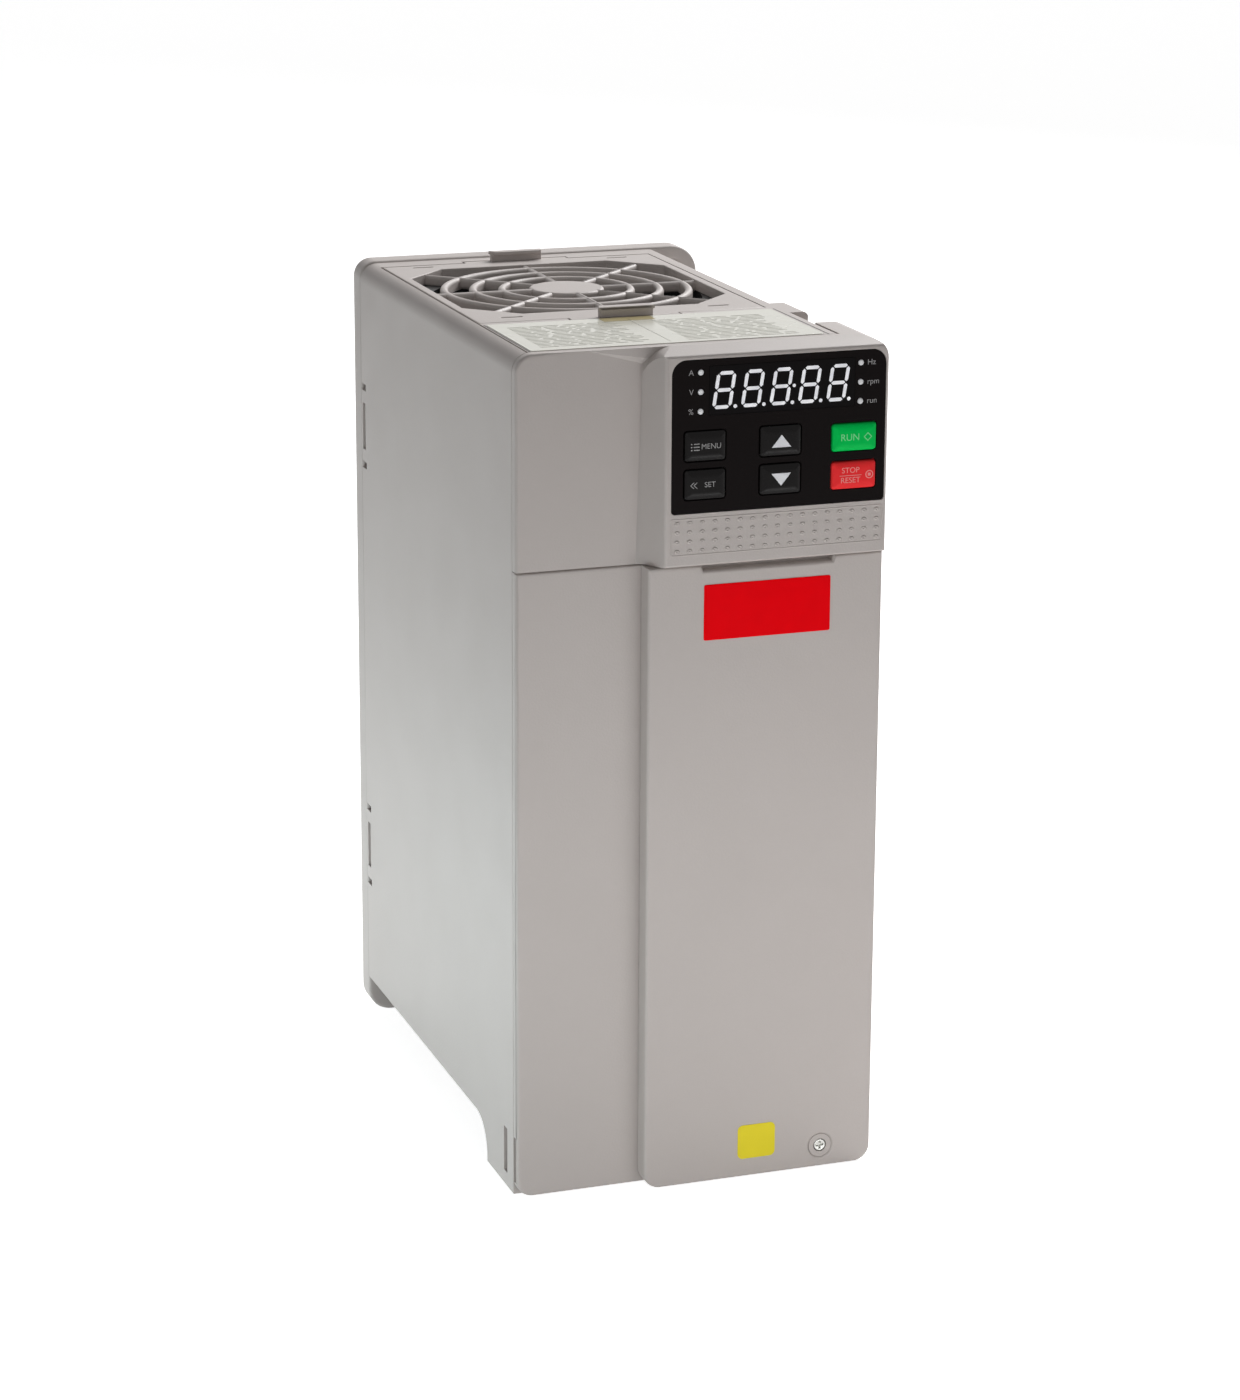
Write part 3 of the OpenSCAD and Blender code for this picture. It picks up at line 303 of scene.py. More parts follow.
def finish_piece(obj, body, slot, stands_for=()):
    """Links a new piece into the scene, on its body and with its slot's material."""
    if not obj.users_collection:
        bpy.context.scene.collection.objects.link(obj)
    if not obj.data.materials:
        obj.data.materials.append(MATERIALS[slot])
    if stands_for:
        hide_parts(*stands_for)
    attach(obj, body)
    return obj


def smooth(obj, angle=32):
    """Smooth shading that keeps real corners, led by the large flat faces."""
    for face in obj.data.polygons:
        face.use_smooth = True
    obj.data.set_sharp_from_angle(angle=math.radians(angle))
    normal = obj.modifiers.new("normal", "WEIGHTED_NORMAL")
    normal.keep_sharp = True


def rounded_copy(node, body, passes, segments=3, merge_flat=False):
    """Stands for a CAD node: its own mesh with the picked edges rounded.

    Each pass is (radius in millimetres, pick), and pick takes an edge's two ends in millimetres.
    Merging the triangles of flat faces first keeps the rounding even where edges are short.
    The normals that came with the CAD mesh don't fit the new shape, so they are dropped."""
    mesh = NODES[node].data.copy()
    mesh.name = node + "_rounded"
    shape = bmesh.new()
    shape.from_mesh(mesh)
    bmesh.ops.remove_doubles(shape, verts=shape.verts, dist=WELD)
    if merge_flat:
        bmesh.ops.dissolve_limit(shape, angle_limit=math.radians(0.5), verts=shape.verts,
                                 edges=shape.edges, use_dissolve_boundaries=False)
    for radius, pick in passes:
        edges = [
            e for e in shape.edges
            if len(e.link_faces) == 2
            and abs(e.calc_face_angle(0)) > math.radians(SHARP)
            and pick(e.verts[0].co / MM, e.verts[1].co / MM)
        ]
        bmesh.ops.bevel(shape, geom=edges, offset=radius * MM, offset_type="OFFSET",
                        segments=segments, profile=0.5, affect="EDGES", clamp_overlap=False)
    if merge_flat:
        bmesh.ops.triangulate(shape, faces=[f for f in shape.faces if len(f.verts) > 4])
    shape.to_mesh(mesh)
    shape.free()
    if "custom_normal" in mesh.attributes:
        mesh.attributes.remove(mesh.attributes["custom_normal"])
    mesh.materials.clear()
    obj = bpy.data.objects.new(node + "_rounded", mesh)
    finish_piece(obj, body, slot_of(node), [node])
    smooth(obj)
    return obj


def prism(outlines, depth, radius, segments=3):
    """A mesh of flat outlines, the holes among them, given depth along Z and rounded at both faces."""
    curve = bpy.data.curves.new("outline", "CURVE")
    curve.dimensions = "2D"
    curve.fill_mode = "BOTH"
    curve.extrude = (depth / 2 - radius) * MM
    curve.bevel_depth = radius * MM
    curve.bevel_resolution = segments - 1
    curve.offset = -radius * MM
    for outline in outlines:
        spline = curve.splines.new("POLY")
        spline.points.add(len(outline) - 1)
        for point, (x, y) in zip(spline.points, outline):
            point.co = (x * MM, y * MM, 0, 1)
        spline.use_cyclic_u = True
    holder = bpy.data.objects.new("outline", curve)
    bpy.context.scene.collection.objects.link(holder)
    bpy.context.view_layer.update()
    mesh = bpy.data.meshes.new_from_object(holder)
    bpy.data.objects.remove(holder)
    bpy.data.curves.remove(curve)
    shape = bmesh.new()
    shape.from_mesh(mesh)
    bmesh.ops.remove_doubles(shape, verts=shape.verts, dist=WELD)
    shape.to_mesh(mesh)
    shape.free()
    return mesh


def gather(name, parts):
    """One object of several meshes, each with the matrix that places it."""
    shape = bmesh.new()
    for mesh, place in parts:
        piece = bmesh.new()
        piece.from_mesh(mesh)
        bmesh.ops.transform(piece, matrix=place, verts=piece.verts)
        joined = bpy.data.meshes.new("part")
        piece.to_mesh(joined)
        piece.free()
        shape.from_mesh(joined)
        bpy.data.meshes.remove(joined)
    bmesh.ops.recalc_face_normals(shape, faces=shape.faces)
    mesh = bpy.data.meshes.new(name)
    shape.to_mesh(mesh)
    shape.free()
    return bpy.data.objects.new(name, mesh)


# Outlines drawn in X and Z lie on a plane that faces the viewer, at a given Y
TO_FRONT = Matrix.Rotation(math.radians(90), 4, "X")


def facing_front(y):
    return Matrix.Translation((0, y * MM, 0)) @ TO_FRONT


def at_height(z):
    return Matrix.Translation((0, 0, z * MM))


def arc(cx, cy, r, start, end, steps):
    """Points on an arc, its angles in degrees."""
    angles = [math.radians(start + (end - start) * k / steps) for k in range(steps + 1)]
    return [(cx + r * math.cos(a), cy + r * math.sin(a)) for a in angles]


def round_rect(x0, y0, x1, y1, r, steps=6):
    """A rectangle with round corners, anticlockwise."""
    return (arc(x1 - r, y1 - r, r, 0, 90, steps) + arc(x0 + r, y1 - r, r, 90, 180, steps)
            + arc(x0 + r, y0 + r, r, 180, 270, steps) + arc(x1 - r, y0 + r, r, 270, 360, steps))


def ring(cx, cy, r, steps=96):
    return arc(cx, cy, r, 0, 360 - 360 / steps, steps - 1)


# ---------------------------------------------------------------- rounded mouldings

SOFT_R, LOWER_R, BLOCK_R, FOOT_R, SMALL_R = 0.9, 1.0, 0.7, 1.6, 0.25
BAY_MARGIN, LOWER_CORNER, PANEL_MARGIN = 2, 5, 0.5


def near(a, b):
    return abs(a - b) < 0.02


def on_plane(axis, place):
    """Picks edges that lie in the plane where that coordinate has that value."""
    return lambda a, b: near(a[axis], place) and near(b[axis], place)


def round_lower_shell():
    """The lower front shell: soft along its outer front edges, sharp around the terminal bay."""
    lo, hi = mm_box("lower_shell")
    at_front = on_plane(1, lo[1])
    ends = ((0, lo[0]), (0, hi[0]), (2, hi[2]))

    def outer(point):
        return any(near(point[axis], end) for axis, end in ends) or point[2] < lo[2] + LOWER_CORNER

    def pick(a, b):
        return at_front(a, b) and outer(a) and outer(b) and not near(a[2], hi[2] - BAY_MARGIN)

    rounded_copy("lower_shell", "case", [(LOWER_R, pick)])


def round_upper_shell():
    """The upper front shell and its raised keypad surround."""
    lo, _ = mm_box("upper_shell")
    panel_lo, panel_hi = mm_box("keypad_panel")
    at_front = on_plane(1, mm_box("lower_shell")[0][1])
    at_face = on_plane(1, lo[1])
    raised = mm_box("terminal_cover")[0][0]

    def foot(a, b):
        return at_front(a, b) and near(a[0], raised) and near(b[0], raised)

    def outer(a, b):
        left = max(a[0], b[0]) < raised + 0.1
        at_split = near(a[2], lo[2]) and near(b[2], lo[2])
        return at_front(a, b) and left and not at_split and not foot(a, b)

    def at_panel(point):
        return all(panel_lo[k] - PANEL_MARGIN < point[k] < panel_hi[k] + PANEL_MARGIN for k in (0, 2))

    def rim(a, b):
        return at_face(a, b) and not (at_panel(a) and at_panel(b))

    rounded_copy("upper_shell", "case", [(SOFT_R, outer), (BLOCK_R, rim), (FOOT_R, foot)],
                 segments=4, merge_flat=True)


def round_shells():
    """The cover, the front shells, the wall plate, the screw and the lamps, with softened edges."""
    rounded_copy("terminal_cover", "cover", [(SOFT_R, on_plane(1, mm_box("terminal_cover")[0][1]))])
    round_lower_shell()
    round_upper_shell()
    rounded_copy("back_plate", "case", [(SOFT_R, on_plane(1, mm_box("housing")[1][1]))])
    for node, body in (("cover_screw", "screw"), ("indicator_leds", "case")):
        rounded_copy(node, body, [(SMALL_R, on_plane(1, mm_box(node)[0][1]))])


# ---------------------------------------------------------------- keys

KEYS = ("key_menu", "key_select", "key_up", "key_down", "key_run", "key_stop")
KEY_PROUD, KEY_CORNER_R, KEY_DOME_IN, KEY_SINK = 0.9, 0.8, 2.1, 0.02
KEY_SKIRT, KEY_FLANGE, KEY_FLANGE_T, KEY_FLANGE_R, KEY_STEM_R = 1.3, 0.6, 1, 1, 1.8


def pillow(x0, z0, x1, z1, corner, rise, inset, rings=7):
    """A domed cap over a round-cornered rectangle, its base at height zero."""
    shape = bmesh.new()
    loops = []
    for k in range(rings + 1):
        turn = math.radians(90 * k / rings)
        shrink = inset * (1 - math.cos(turn))
        height = rise * math.sin(turn)
        corner_r = max(0.2, corner - shrink / 2)
        outline = round_rect(x0 + shrink, z0 + shrink, x1 - shrink, z1 - shrink, corner_r)
        loops.append([shape.verts.new((x * MM, z * MM, height * MM)) for x, z in outline])
    for low, high in zip(loops, loops[1:]):
        for i in range(len(low)):
            j = (i + 1) % len(low)
            shape.faces.new((low[i], low[j], high[j], high[i]))
    shape.faces.new(loops[-1])
    shape.faces.new(loops[0][::-1])
    mesh = bpy.data.meshes.new("pillow")
    shape.to_mesh(mesh)
    shape.free()
    return mesh


def make_key(node):
    """A domed key: cap, skirt through the panel, and the flange and stem behind it."""
    lo, hi = mm_box(node)
    x0, z0 = lo[0] + KEY_FLANGE, lo[2] + KEY_FLANGE
    x1, z1 = hi[0] - KEY_FLANGE, hi[2] - KEY_FLANGE
    face = lo[1] + KEY_PROUD
    flange_y = face + KEY_SKIRT
    skirt = round_rect(x0, z0, x1, z1, KEY_CORNER_R)
    flange = round_rect(lo[0], lo[2], hi[0], hi[2], KEY_FLANGE_R)
    stem = ring((x0 + x1) / 2, (z0 + z1) / 2, KEY_STEM_R, 32)
    cap = pillow(x0, z0, x1, z1, KEY_CORNER_R, KEY_PROUD - KEY_SINK, KEY_DOME_IN)
    obj = gather(node + "_cap", [
        (cap, facing_front(face)),
        (prism([skirt], KEY_SKIRT, 0), facing_front(face + KEY_SKIRT / 2)),
        (prism([flange], KEY_FLANGE_T, 0.1), facing_front(flange_y + KEY_FLANGE_T / 2)),
        (prism([stem], hi[1] - face, 0.1), facing_front((face + hi[1]) / 2)),
    ])
    finish_piece(obj, node, slot_of(node), [node])
    smooth(obj)


# ---------------------------------------------------------------- fan grille

PLATE_T, PLATE_SKIN_T, BAR_W, BAR_H, BAR_DROP, BAR_R = 3, 1.3, 2.2, 3.2, 0.3, 1.05
OCTAGON_HALF, OCTAGON_CUT, HUB_R, RING_PITCH = 38, 13, 10, 8.1
TRAY_HALF_W, TRAY_FRONT, TRAY_REAR, TONGUE_HALF, TONGUE_REACH = 40.5, -48.6, 45.4, 15.5, 2.5
RINGS, SPOKES, SPOKE_HOLD = 3, 8, 0.8
LEG_X, LEG_Y, LEG_HALF_W, LEG_HALF_T, BARB_REACH, BARB_H = 29.5, 40.9, 3, 0.6, 1, 1.2
SLOT_Y, SLOT_HALF_T = 42.2, 0.5
CLIP_HALF_W, CLIP_T, LIP_HALF_W, LIP_REACH, LIP_T = 7.6, 2, 8, 3, 1.1
CORNERS = [(sx, sy) for sx in (-1, 1) for sy in (-1, 1)]


def lathe(profile, steps):
    """A mesh of a closed profile of (radius, height) points turned about Z."""
    shape = bmesh.new()
    rings = []
    for k in range(steps):
        a = 2 * math.pi * k / steps
        rings.append([shape.verts.new((r * MM * math.cos(a), r * MM * math.sin(a), z * MM))
                      for r, z in profile])
    for k in range(steps):
        here, there = rings[k], rings[(k + 1) % steps]
        for i in range(len(profile)):
            j = (i + 1) % len(profile)
            shape.faces.new((here[i], there[i], there[j], here[j]))
    mesh = bpy.data.meshes.new("lathe")
    shape.to_mesh(mesh)
    shape.free()
    return mesh


def grille_plate(cx, cy, top):
    """The plate with its two tongues, its eight-sided opening and four small slots, in two layers."""
    w, front, rear = TRAY_HALF_W, TRAY_FRONT, TRAY_REAR
    t, reach = TONGUE_HALF, TONGUE_REACH
    tray = [(cx + x, cy + y) for x, y in (
        (-w, front), (-t, front), (-t, front - reach), (t, front - reach), (t, front), (w, front),
        (w, rear), (t, rear), (t, rear + reach), (-t, rear + reach), (-t, rear), (-w, rear))]
    a, b = OCTAGON_HALF, OCTAGON_HALF - OCTAGON_CUT
    octagon = [(cx + x, cy + y) for x, y in (
        (a, b), (b, a), (-b, a), (-a, b), (-a, -b), (-b, -a), (b, -a), (a, -b))]
    slots = []
    for sx, sy in CORNERS:
        x, y = cx + sx * LEG_X, cy + sy * SLOT_Y
        slots.append(round_rect(x - LEG_HALF_W, y - SLOT_HALF_T, x + LEG_HALF_W, y + SLOT_HALF_T, 0.3, 2))
    lower_t = PLATE_T - PLATE_SKIN_T + 0.2
    return [
        (prism([tray, octagon] + slots, PLATE_SKIN_T, 0.3), at_height(top - PLATE_SKIN_T / 2)),
        (prism([tray, octagon], lower_t, 0.05), at_height(top - PLATE_T + lower_t / 2)),
    ]


def grille_bars(cx, cy, top):
    """Three rings and a hub on eight spokes that reach the edge of the opening."""
    centre = Matrix.Translation((cx * MM, cy * MM, 0))
    bar_top = top - BAR_DROP
    bar_middle = at_height(bar_top - BAR_H / 2)
    half = BAR_W / 2
    parts = []
    for k in range(1, RINGS + 1):
        r = HUB_R + k * RING_PITCH
        profile = ([(r - half, bar_top - BAR_H), (r + half, bar_top - BAR_H)]
                   + arc(r + half - BAR_R, bar_top - BAR_R, BAR_R, 0, 90, 5)
                   + arc(r - half + BAR_R, bar_top - BAR_R, BAR_R, 90, 180, 5))
        parts.append((lathe(profile, 128), centre))
    parts.append((prism([ring(0, 0, HUB_R + 0.6)], BAR_H, 0.9), centre @ bar_middle))
    reaches = (OCTAGON_HALF, (2 * OCTAGON_HALF - OCTAGON_CUT) / math.sqrt(2))
    for k in range(SPOKES):
        end = reaches[k % 2] + SPOKE_HOLD
        spoke = prism([round_rect(HUB_R - 1, -half, end, half, 0.2, 2)], BAR_H, BAR_R)
        turn = Matrix.Rotation(2 * math.pi * k / SPOKES, 4, "Z")
        parts.append((spoke, centre @ turn @ bar_middle))
    return parts


def grip_clips(cx, cover_lo, cover_hi, top):
    """The upright tab on each tongue, with a lip to pull on."""
    rise = cover_hi[2] - top
    parts = []
    for edge, inwards in ((cover_lo[1], 1), (cover_hi[1], -1)):
        low, high = sorted((edge, edge + inwards * CLIP_T))
        wall = prism([round_rect(cx - CLIP_HALF_W, low, cx + CLIP_HALF_W, high, 0.4, 3)], rise, 0.2)
        inner = edge + inwards * LIP_REACH
        outline = [(cx - LIP_HALF_W, edge), (cx - LIP_HALF_W + 1, inner),
                   (cx + LIP_HALF_W - 1, inner), (cx + LIP_HALF_W, edge)]
        lip = prism([outline[::inwards]], LIP_T, 0.3)
        parts.append((wall, at_height(top + rise / 2 - 0.05)))
        parts.append((lip, at_height(top + rise - LIP_T / 2)))
    return parts


def snap_legs(cx, cy, foot, top):
    """Four legs down the fan's sides, each with a small barb that points inwards."""
    depth = top - PLATE_T - foot
    parts = []
    for sx, sy in CORNERS:
        x, y = cx + sx * LEG_X, cy + sy * LEG_Y
        x0, x1, y0, y1 = x - LEG_HALF_W, x + LEG_HALF_W, y - LEG_HALF_T, y + LEG_HALF_T
        leg = prism([round_rect(x0, y0, x1, y1, 0.3, 2)], depth, 0.1)
        if sy > 0:
            y0 -= BARB_REACH
        else:
            y1 += BARB_REACH
        barb = prism([round_rect(x0, y0, x1, y1, 0.3, 2)], BARB_H, 0.2)
        parts.append((leg, at_height(foot + depth / 2)))
        parts.append((barb, at_height(foot + BARB_H / 2)))
    return parts


def make_grille():
    """The fan cover: plate, rings on spokes, grip clips and legs."""
    lo, hi = mm_box("fan_impeller")
    cx, cy = (lo[0] + hi[0]) / 2, (lo[1] + hi[1]) / 2
    cover_lo, cover_hi = mm_box("fan_cover")
    top = mm_box("housing")[1][2]
    parts = grille_plate(cx, cy, top) + grille_bars(cx, cy, top)
    parts += grip_clips(cx, cover_lo, cover_hi, top) + snap_legs(cx, cy, cover_lo[2], top)
    obj = gather("fan_grille", parts)
    finish_piece(obj, "fan_tray", "case_plastic", ["fan_cover"])
    smooth(obj)


# ---------------------------------------------------------------- print on the keypad

DIGITS, DIGIT_W, DIGIT_H, DIGIT_PITCH, STROKE, SLANT, SEGMENT_GAP = 5, 5.3, 9.8, 7.9, 0.92, 0.15, 0.24
POINT_R, COLON_R, LAMP_TEXT = 0.5, 0.45, 2.1
# The print's thickness also serves the painted shade on the top label.
PRINT_T, PRINT_LIFT = 0.05, 0.01


def seven_segments(x0, z0):
    """The seven bars of one slanted digit, as outlines."""
    s, gap = STROKE, SEGMENT_GAP
    w, h = DIGIT_W, DIGIT_H

    def flat_bar(z):
        return [(s / 2 + gap, z + s / 2), (s + gap, z), (w - s - gap, z), (w - s / 2 - gap, z + s / 2),
                (w - s - gap, z + s), (s + gap, z + s)]

    def tall_bar(x, low, high):
        return [(x + s / 2, low + gap), (x + s, low + s / 2 + gap), (x + s, high - s / 2 - gap),
                (x + s / 2, high - gap), (x, high - s / 2 - gap), (x, low + s / 2 + gap)]

    middle = h / 2
    bars = [flat_bar(0), flat_bar(middle - s / 2), flat_bar(h - s)]
    for x in (0, w - s):
        bars += [tall_bar(x, s / 2, middle), tall_bar(x, middle, h - s / 2)]
    return [[(x0 + x + SLANT * z, z0 + z) for x, z in bar] for bar in bars]


def text_mesh(words, size, x, z, align="CENTER"):
    """Lettering as a thin mesh, its middle height at z."""
    curve = bpy.data.curves.new("words", "FONT")
    curve.body = words
    curve.size = size * MM
    curve.align_x = align
    curve.align_y = "CENTER"
    curve.extrude = PRINT_T / 2 * MM
    holder = bpy.data.objects.new("words", curve)
    bpy.context.scene.collection.objects.link(holder)
    bpy.context.view_layer.update()
    mesh = bpy.data.meshes.new_from_object(holder)
    mesh.transform(Matrix.Translation((x * MM, z * MM, 0)))
    bpy.data.objects.remove(holder)
    bpy.data.curves.remove(curve)
    return mesh


def printed(name, body, surface_y, material, shapes=(), words=()):
    """Thin print on a surface that faces the viewer: shapes, each an outline with its holes, and words."""
    place = facing_front(surface_y - PRINT_LIFT - PRINT_T / 2)
    parts = [(prism(shape, PRINT_T, 0), place) for shape in shapes]
    parts += [(text_mesh(*row), place) for row in words]
    obj = gather(name, parts)
    obj.data.materials.append(material)
    finish_piece(obj, body, "led_white")


def make_display():
    """Five lit digits with their points behind the smoked window, and the unit marks beside the lamps."""
    lo, _ = mm_box("display_window")
    x0, z0 = lo[0] + 0.7, lo[2] + 1.5
    shapes = []
    for k in range(DIGITS):
        left = x0 + k * DIGIT_PITCH
        shapes += [[bar] for bar in seven_segments(left, z0)]
        shapes.append([ring(left + DIGIT_W + 1.15, z0 + POINT_R, POINT_R, 16)])
    colon_x = x0 + 2 * DIGIT_PITCH + DIGIT_W + 1.6
    shapes.append([ring(colon_x, z0 + DIGIT_H / 2, COLON_R, 16)])
    printed("display_digits", "case", lo[1], LIT, shapes)
    lamp_lo, lamp_hi = mm_box("indicator_leds")
    rows = [lamp_lo[2] + 0.8, (lamp_lo[2] + lamp_hi[2]) / 2, lamp_hi[2] - 0.8]
    left = [(word, LAMP_TEXT, lamp_lo[0] - 1.2, z, "RIGHT") for word, z in zip(("%", "V", "A"), rows)]
    right = [(word, LAMP_TEXT, lamp_hi[0] + 0.9, z, "LEFT") for word, z in zip(("run", "rpm", "Hz"), rows)]
    printed("lamp_marks", "case", mm_box("keypad_panel")[0][1], PRINT_PALE, words=left + right)


def make_key_marks():
    """Plain marks on the six keys, drawn about each key's middle."""
    def middle(node):
        lo, hi = mm_box(node)
        return (lo[0] + hi[0]) / 2, (lo[2] + hi[2]) / 2, lo[1]

    def bar(x0, x1, z, half, corner=0.1):
        return [round_rect(x0, z - half, x1, z + half, corner, 2)]

    for node, way in (("key_up", 1), ("key_down", -1)):
        x, z, y = middle(node)
        arrow = [(x - 2.7, z - 1.6 * way), (x + 2.7, z - 1.6 * way), (x, z + 1.7 * way)]
        printed(node + "_mark", node, y, PRINT_WHITE, [[arrow[::way]]])

    x, z, y = middle("key_menu")
    rows = (-0.8, 0, 0.8)
    lines = [bar(x - 3.4, x - 1.8, z + row, 0.14) for row in rows]
    dots = [bar(x - 4.2, x - 3.8, z + row, 0.16) for row in rows]
    printed("key_menu_mark", "key_menu", y, PRINT_PALE, lines + dots, [("MENU", 2.0, x + 1.4, z)])

    x, z, y = middle("key_select")
    chevrons = []
    for left in (x - 4.3, x - 3.4):
        chevron = [(left, z), (left + 0.9, z + 0.8), (left + 1.2, z + 0.8), (left + 0.3, z),
                   (left + 1.2, z - 0.8), (left + 0.9, z - 0.8)]
        chevrons.append([chevron[::-1]])
    printed("key_select_mark", "key_select", y, PRINT_PALE, chevrons, [("SET", 2.0, x + 1.2, z)])

    x, z, y = middle("key_run")
    diamond, hole = [[(x + 3.6 - r, z), (x + 3.6, z - way * r), (x + 3.6 + r, z), (x + 3.6, z + way * r)]
                     for r, way in ((1.2, 1), (0.85, -1))]
    printed("key_run_mark", "key_run", y, PRINT_GREEN, [[diamond, hole]], [("RUN", 2.6, x - 1.4, z)])

    x, z, y = middle("key_stop")
    shapes = [[ring(x + 4.2, z, 1.1, 32), ring(x + 4.2, z, 0.85, 32)],
              bar(x + 3.8, x + 4.6, z, 0.4), bar(x - 4.2, x + 2, z, 0.08, 0.05)]
    words = [("STOP", 2.1, x - 1.1, z + 1.35), ("RESET", 2.1, x - 1.1, z - 1.3)]
    printed("key_stop_mark", "key_stop", y, PRINT_PINK, shapes, words)


# ---------------------------------------------------------------- grip strip

BUMP_COLUMNS, BUMP_ROWS, BUMP_R, BUMP_SINK = 17, 4, 0.75, 0.02
STRIP_RIM, STRIP_T = 0.3, 0.24


def make_dimples():
    """The grip strip under the keypad: rows of low oval bumps inside a shallow frame."""
    panel_lo, panel_hi = mm_box("keypad_panel")
    shell_lo, _ = mm_box("upper_shell")
    face = facing_front(shell_lo[1])
    x0, x1 = panel_lo[0] - 0.1, panel_hi[0] - 0.2
    z0, z1 = shell_lo[2] + 3, panel_lo[2] - 1.2
    outer = round_rect(x0, z0, x1, z1, 0.6)
    inner = round_rect(x0 + STRIP_RIM, z0 + STRIP_RIM, x1 - STRIP_RIM, z1 - STRIP_RIM, 0.4)
    parts = [(prism([outer, inner], STRIP_T, 0.08, 2), face)]
    profile = [(0.0005, 0), (BUMP_R, 0)] + arc(0.4, 0, 0.35, 0, 90, 4) + [(0.2, 0.22), (0.0005, 0.16)]
    bump = lathe(profile, 16)
    flatten = Matrix.Diagonal((1, 0.75, 0.8, 1))
    for i in range(BUMP_COLUMNS):
        for j in range(BUMP_ROWS):
            x = x0 + (i + 0.5) * (x1 - x0) / BUMP_COLUMNS
            z = z0 + (j + 0.5) * (z1 - z0) / BUMP_ROWS
            parts.append((bump, face @ Matrix.Translation((x * MM, z * MM, -BUMP_SINK * MM)) @ flatten))
    obj = gather("grip_strip", parts)
    finish_piece(obj, "case", "case_plastic")
    smooth(obj)


# ---------------------------------------------------------------- labels

RULE_H, RULE_PITCH, BLOCK_END = 0.45, 1.9, 3


def make_film(node, body, slot, outline, place, thickness):
    """Stands for a label's CAD node: a film with round corners."""
    film = gather(node + "_film", [(prism([outline], thickness, 0.04, 2), place)])
    finish_piece(film, body, slot, [node])


def print_and_shade_on_top(name, slot, material, outlines, height):
    """Thin print, and also thin painted shade, on a surface that faces up."""
    place = at_height(height + PRINT_T / 2)
    obj = gather(name, [(prism([outline], PRINT_T, 0), place) for outline in outlines])
    obj.data.materials.append(material)
    finish_piece(obj, "case", slot)


def text_rules(x0, x1, y0, y1, draw):
    """Rows of short rules in place of printed text."""
    rules = []
    y = y0
    while y < y1:
        x = x0
        while x < x1 - BLOCK_END:
            length = draw.uniform(3, 9)
            rules.append(round_rect(x, y, min(x + length, x1), y + RULE_H, 0.1, 1))
            x += length + draw.uniform(0.6, 1.4)
        y += RULE_PITCH
    return rules


def make_labels():
    """The red label, and the top label with plain rules where it is printed, dark strips of painted shade
    in the gaps beside it, and a tan patch of painted shade in front of the fan clip, where the clip keeps
    the painted glare off the label.
    """
    lo, hi = mm_box("front_label")
    make_film("front_label", "cover", "label_red", round_rect(lo[0], lo[2], hi[0], hi[2], 0.5),
              facing_front((lo[1] + hi[1]) / 2), hi[1] - lo[1])
    lo, hi = mm_box("rating_label")
    make_film("rating_label", "case", "label_cream", round_rect(lo[0], lo[1], hi[0], hi[1], 0.8),
              at_height((lo[2] + hi[2]) / 2), hi[2] - lo[2])
    draw = random.Random(7)
    rules = text_rules(lo[0] + 4, lo[0] + 34, lo[1] + 4, hi[1] - 5, draw)
    rules += text_rules(lo[0] + 44, hi[0] - 6, lo[1] + 3, hi[1] - 7, draw)
    rules.append(round_rect(lo[0] + 38.5, lo[1] + 2, lo[0] + 38.7, hi[1] - 3, 0.05, 1))
    print_and_shade_on_top("rating_label_rules", "ribbon_grey", PRINT_GREY, rules, hi[2])
    # Dark strips of painted shade in the gaps on either side of the top label, where the step's shadow
    # falls.
    edges = [round_rect(x, lo[1] - 0.6, x + 0.35, hi[1] + 0.5, 0.1, 1) for x in (hi[0] + 0.9, lo[0] - 0.6)]
    print_and_shade_on_top("rating_label_gap_shade", "ribbon_grey", GAP_SHADE_DARK, edges, lo[2])
    fan_lo, fan_hi = mm_box("fan_impeller")
    clip_x = (fan_lo[0] + fan_hi[0]) / 2
    # A tan patch of painted shade on the top label in front of the fan clip, where the clip keeps the white
    # glare off the film.
    clip_shade = round_rect(clip_x - 8.5, hi[1] - 5.2, clip_x + 6, hi[1] - 0.3, 0.3, 2)
    print_and_shade_on_top("rating_label_patch", "label_cream", CLIP_SHADE_TAN, [clip_shade], hi[2])


# ---------------------------------------------------------------- studio

NEUTRAL, COOL = (1, 1, 1), (0.86, 1.0, 1.02)
# Name, place, aim, size in metres, power in watts and colour
LIGHTS = [
    ("key", (-0.9, -1.7, 0.9), (0, -0.08, 0), (1.4, 1.2), 3.4, NEUTRAL),
    ("low_left", (-0.215, -0.1, -0.09), (-0.05, -0.1, -0.09), (0.5, 0.04), 0.31, COOL),
    ("low_front", (0.05, -0.42, -0.08), (0, -0.15, -0.085), (0.4, 0.04), 0.31, NEUTRAL),
    ("top", (0.9, 0.6, 1.0), (0, -0.08, 0.1), (0.8, 0.8), 23, NEUTRAL),
]
SKY_BOUNCE, SKY_SEEN = 0.11, 1.0
FLOOR_SIZE, FLOOR_GAP, FLOOR_LIFT = 12, 0.0002, 0.8


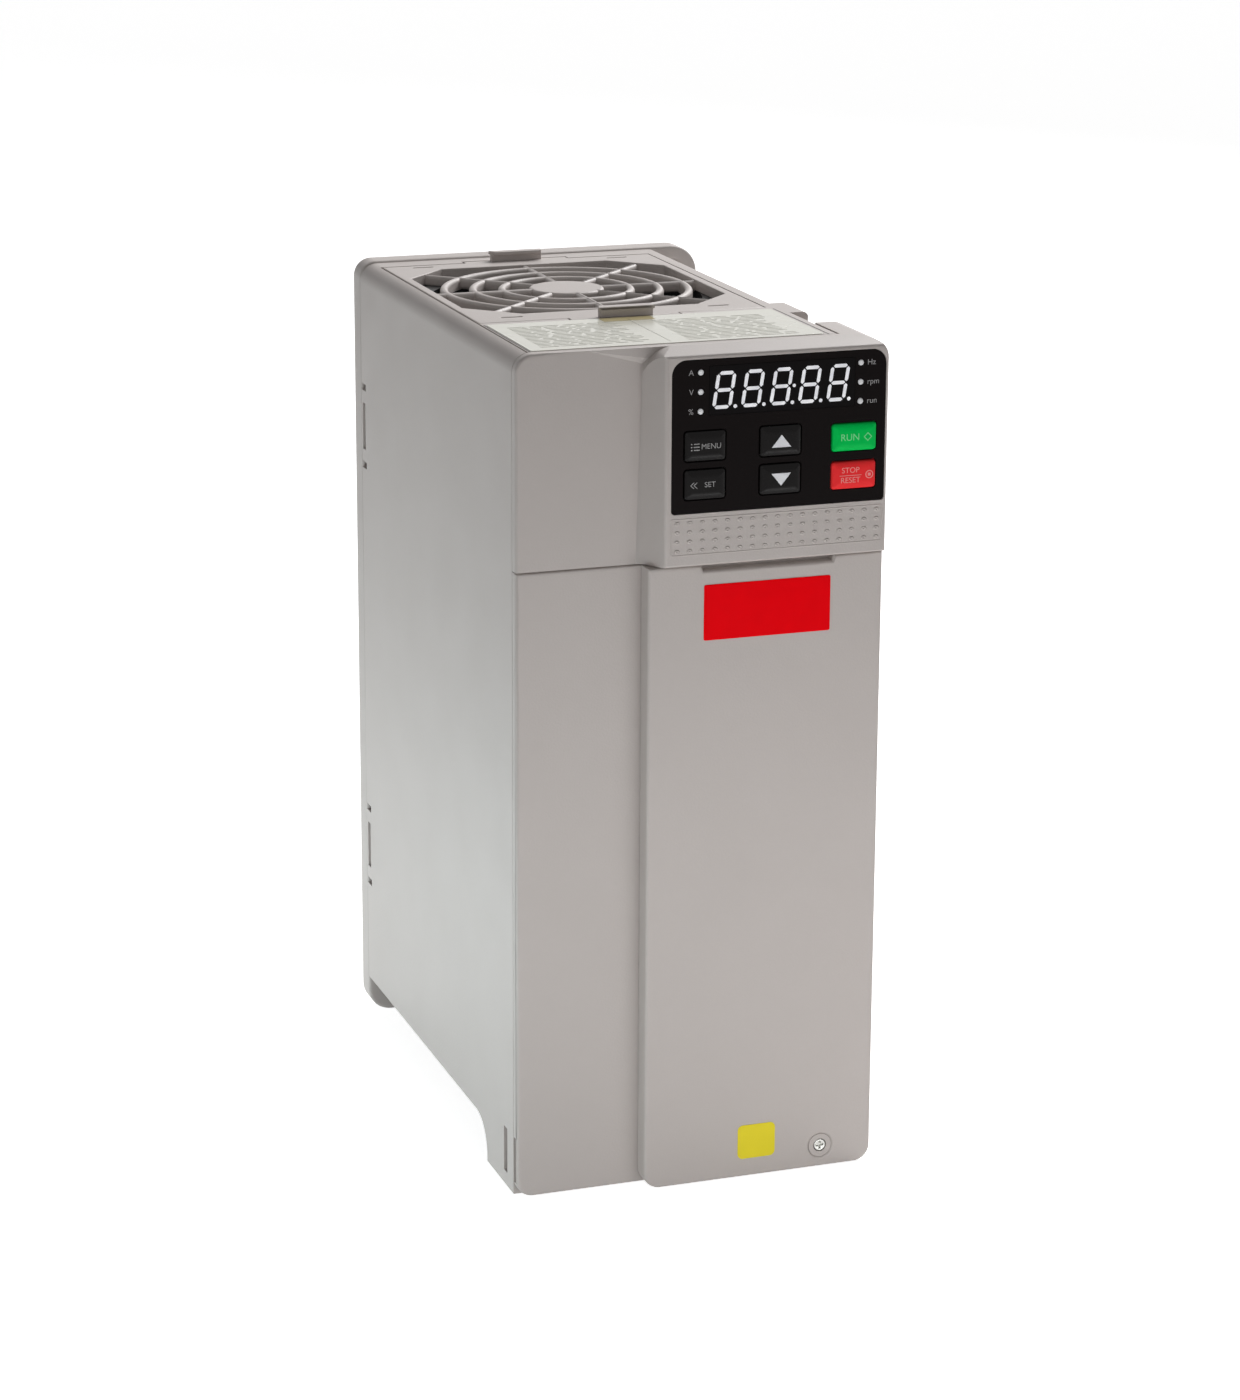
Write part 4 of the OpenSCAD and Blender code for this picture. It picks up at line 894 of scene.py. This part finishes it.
def area_light(name, at, towards, size, watts, colour):
    """A rectangular lamp aimed at a point."""
    data = bpy.data.lights.new(name, "AREA")
    data.color = colour
    data.shape = "RECTANGLE"
    data.size, data.size_y = size
    data.energy = watts
    obj = bpy.data.objects.new(name, data)
    bpy.context.scene.collection.objects.link(obj)
    obj.location = at
    obj.rotation_mode = "QUATERNION"
    obj.rotation_quaternion = (Vector(towards) - Vector(at)).to_track_quat("-Z", "Y")


def seen_directly(tree):
    """One where a camera, glossy or transmission ray looks, and zero for light that bounces."""
    path = tree.nodes.new("ShaderNodeLightPath")
    total = path.outputs["Is Camera Ray"]
    for other in ("Is Glossy Ray", "Is Transmission Ray"):
        add = tree.nodes.new("ShaderNodeMath")
        add.operation = "MAXIMUM"
        tree.links.new(total, add.inputs[0])
        tree.links.new(path.outputs[other], add.inputs[1])
        total = add.outputs[0]
    return total


def make_sky():
    """A world that looks white and lights the scene only faintly."""
    world = bpy.data.worlds.new("world")
    bpy.context.scene.world = world
    world.use_nodes = True
    tree = world.node_tree
    back = tree.nodes["Background"]
    strength = tree.nodes.new("ShaderNodeMapRange")
    tree.links.new(seen_directly(tree), strength.inputs["Value"])
    strength.inputs["To Min"].default_value = SKY_BOUNCE
    strength.inputs["To Max"].default_value = SKY_SEEN
    back.inputs["Color"].default_value = (1, 1, 1, 1)
    tree.links.new(strength.outputs["Result"], back.inputs["Strength"])


def make_floor():
    """A plain pale floor just under the drive, lifted towards white where it is seen."""
    bpy.ops.mesh.primitive_plane_add(size=FLOOR_SIZE, location=(0, 0, CAD_BOX[0].z - FLOOR_GAP))
    floor = bpy.context.object
    floor.name = "floor"
    made = Material("floor", Roughness=0.7)
    made.link(made.ramp(made.noise(3, 2), (0.3, (0.8, 0.8, 0.8, 1)), (0.7, (0.82, 0.82, 0.82, 1))),
              "Base Color")
    lift = made.node("ShaderNodeMath", {0: seen_directly(made.tree), 1: FLOOR_LIFT}, operation="MULTIPLY")
    made.shader.inputs["Emission Color"].default_value = (1, 1, 1, 1)
    made.link(lift.outputs[0], "Emission Strength")
    floor.data.materials.append(made.material)


def make_studio():
    """White surroundings, a pale floor and four lamps."""
    bpy.context.scene.view_settings.view_transform = "Standard"
    make_sky()
    make_floor()
    for row in LIGHTS:
        area_light(*row)


make_camera()
dress_nodes()
round_shells()
for key in KEYS:
    make_key(key)
make_grille()
make_display()
make_key_marks()
make_dimples()
make_labels()
make_studio()
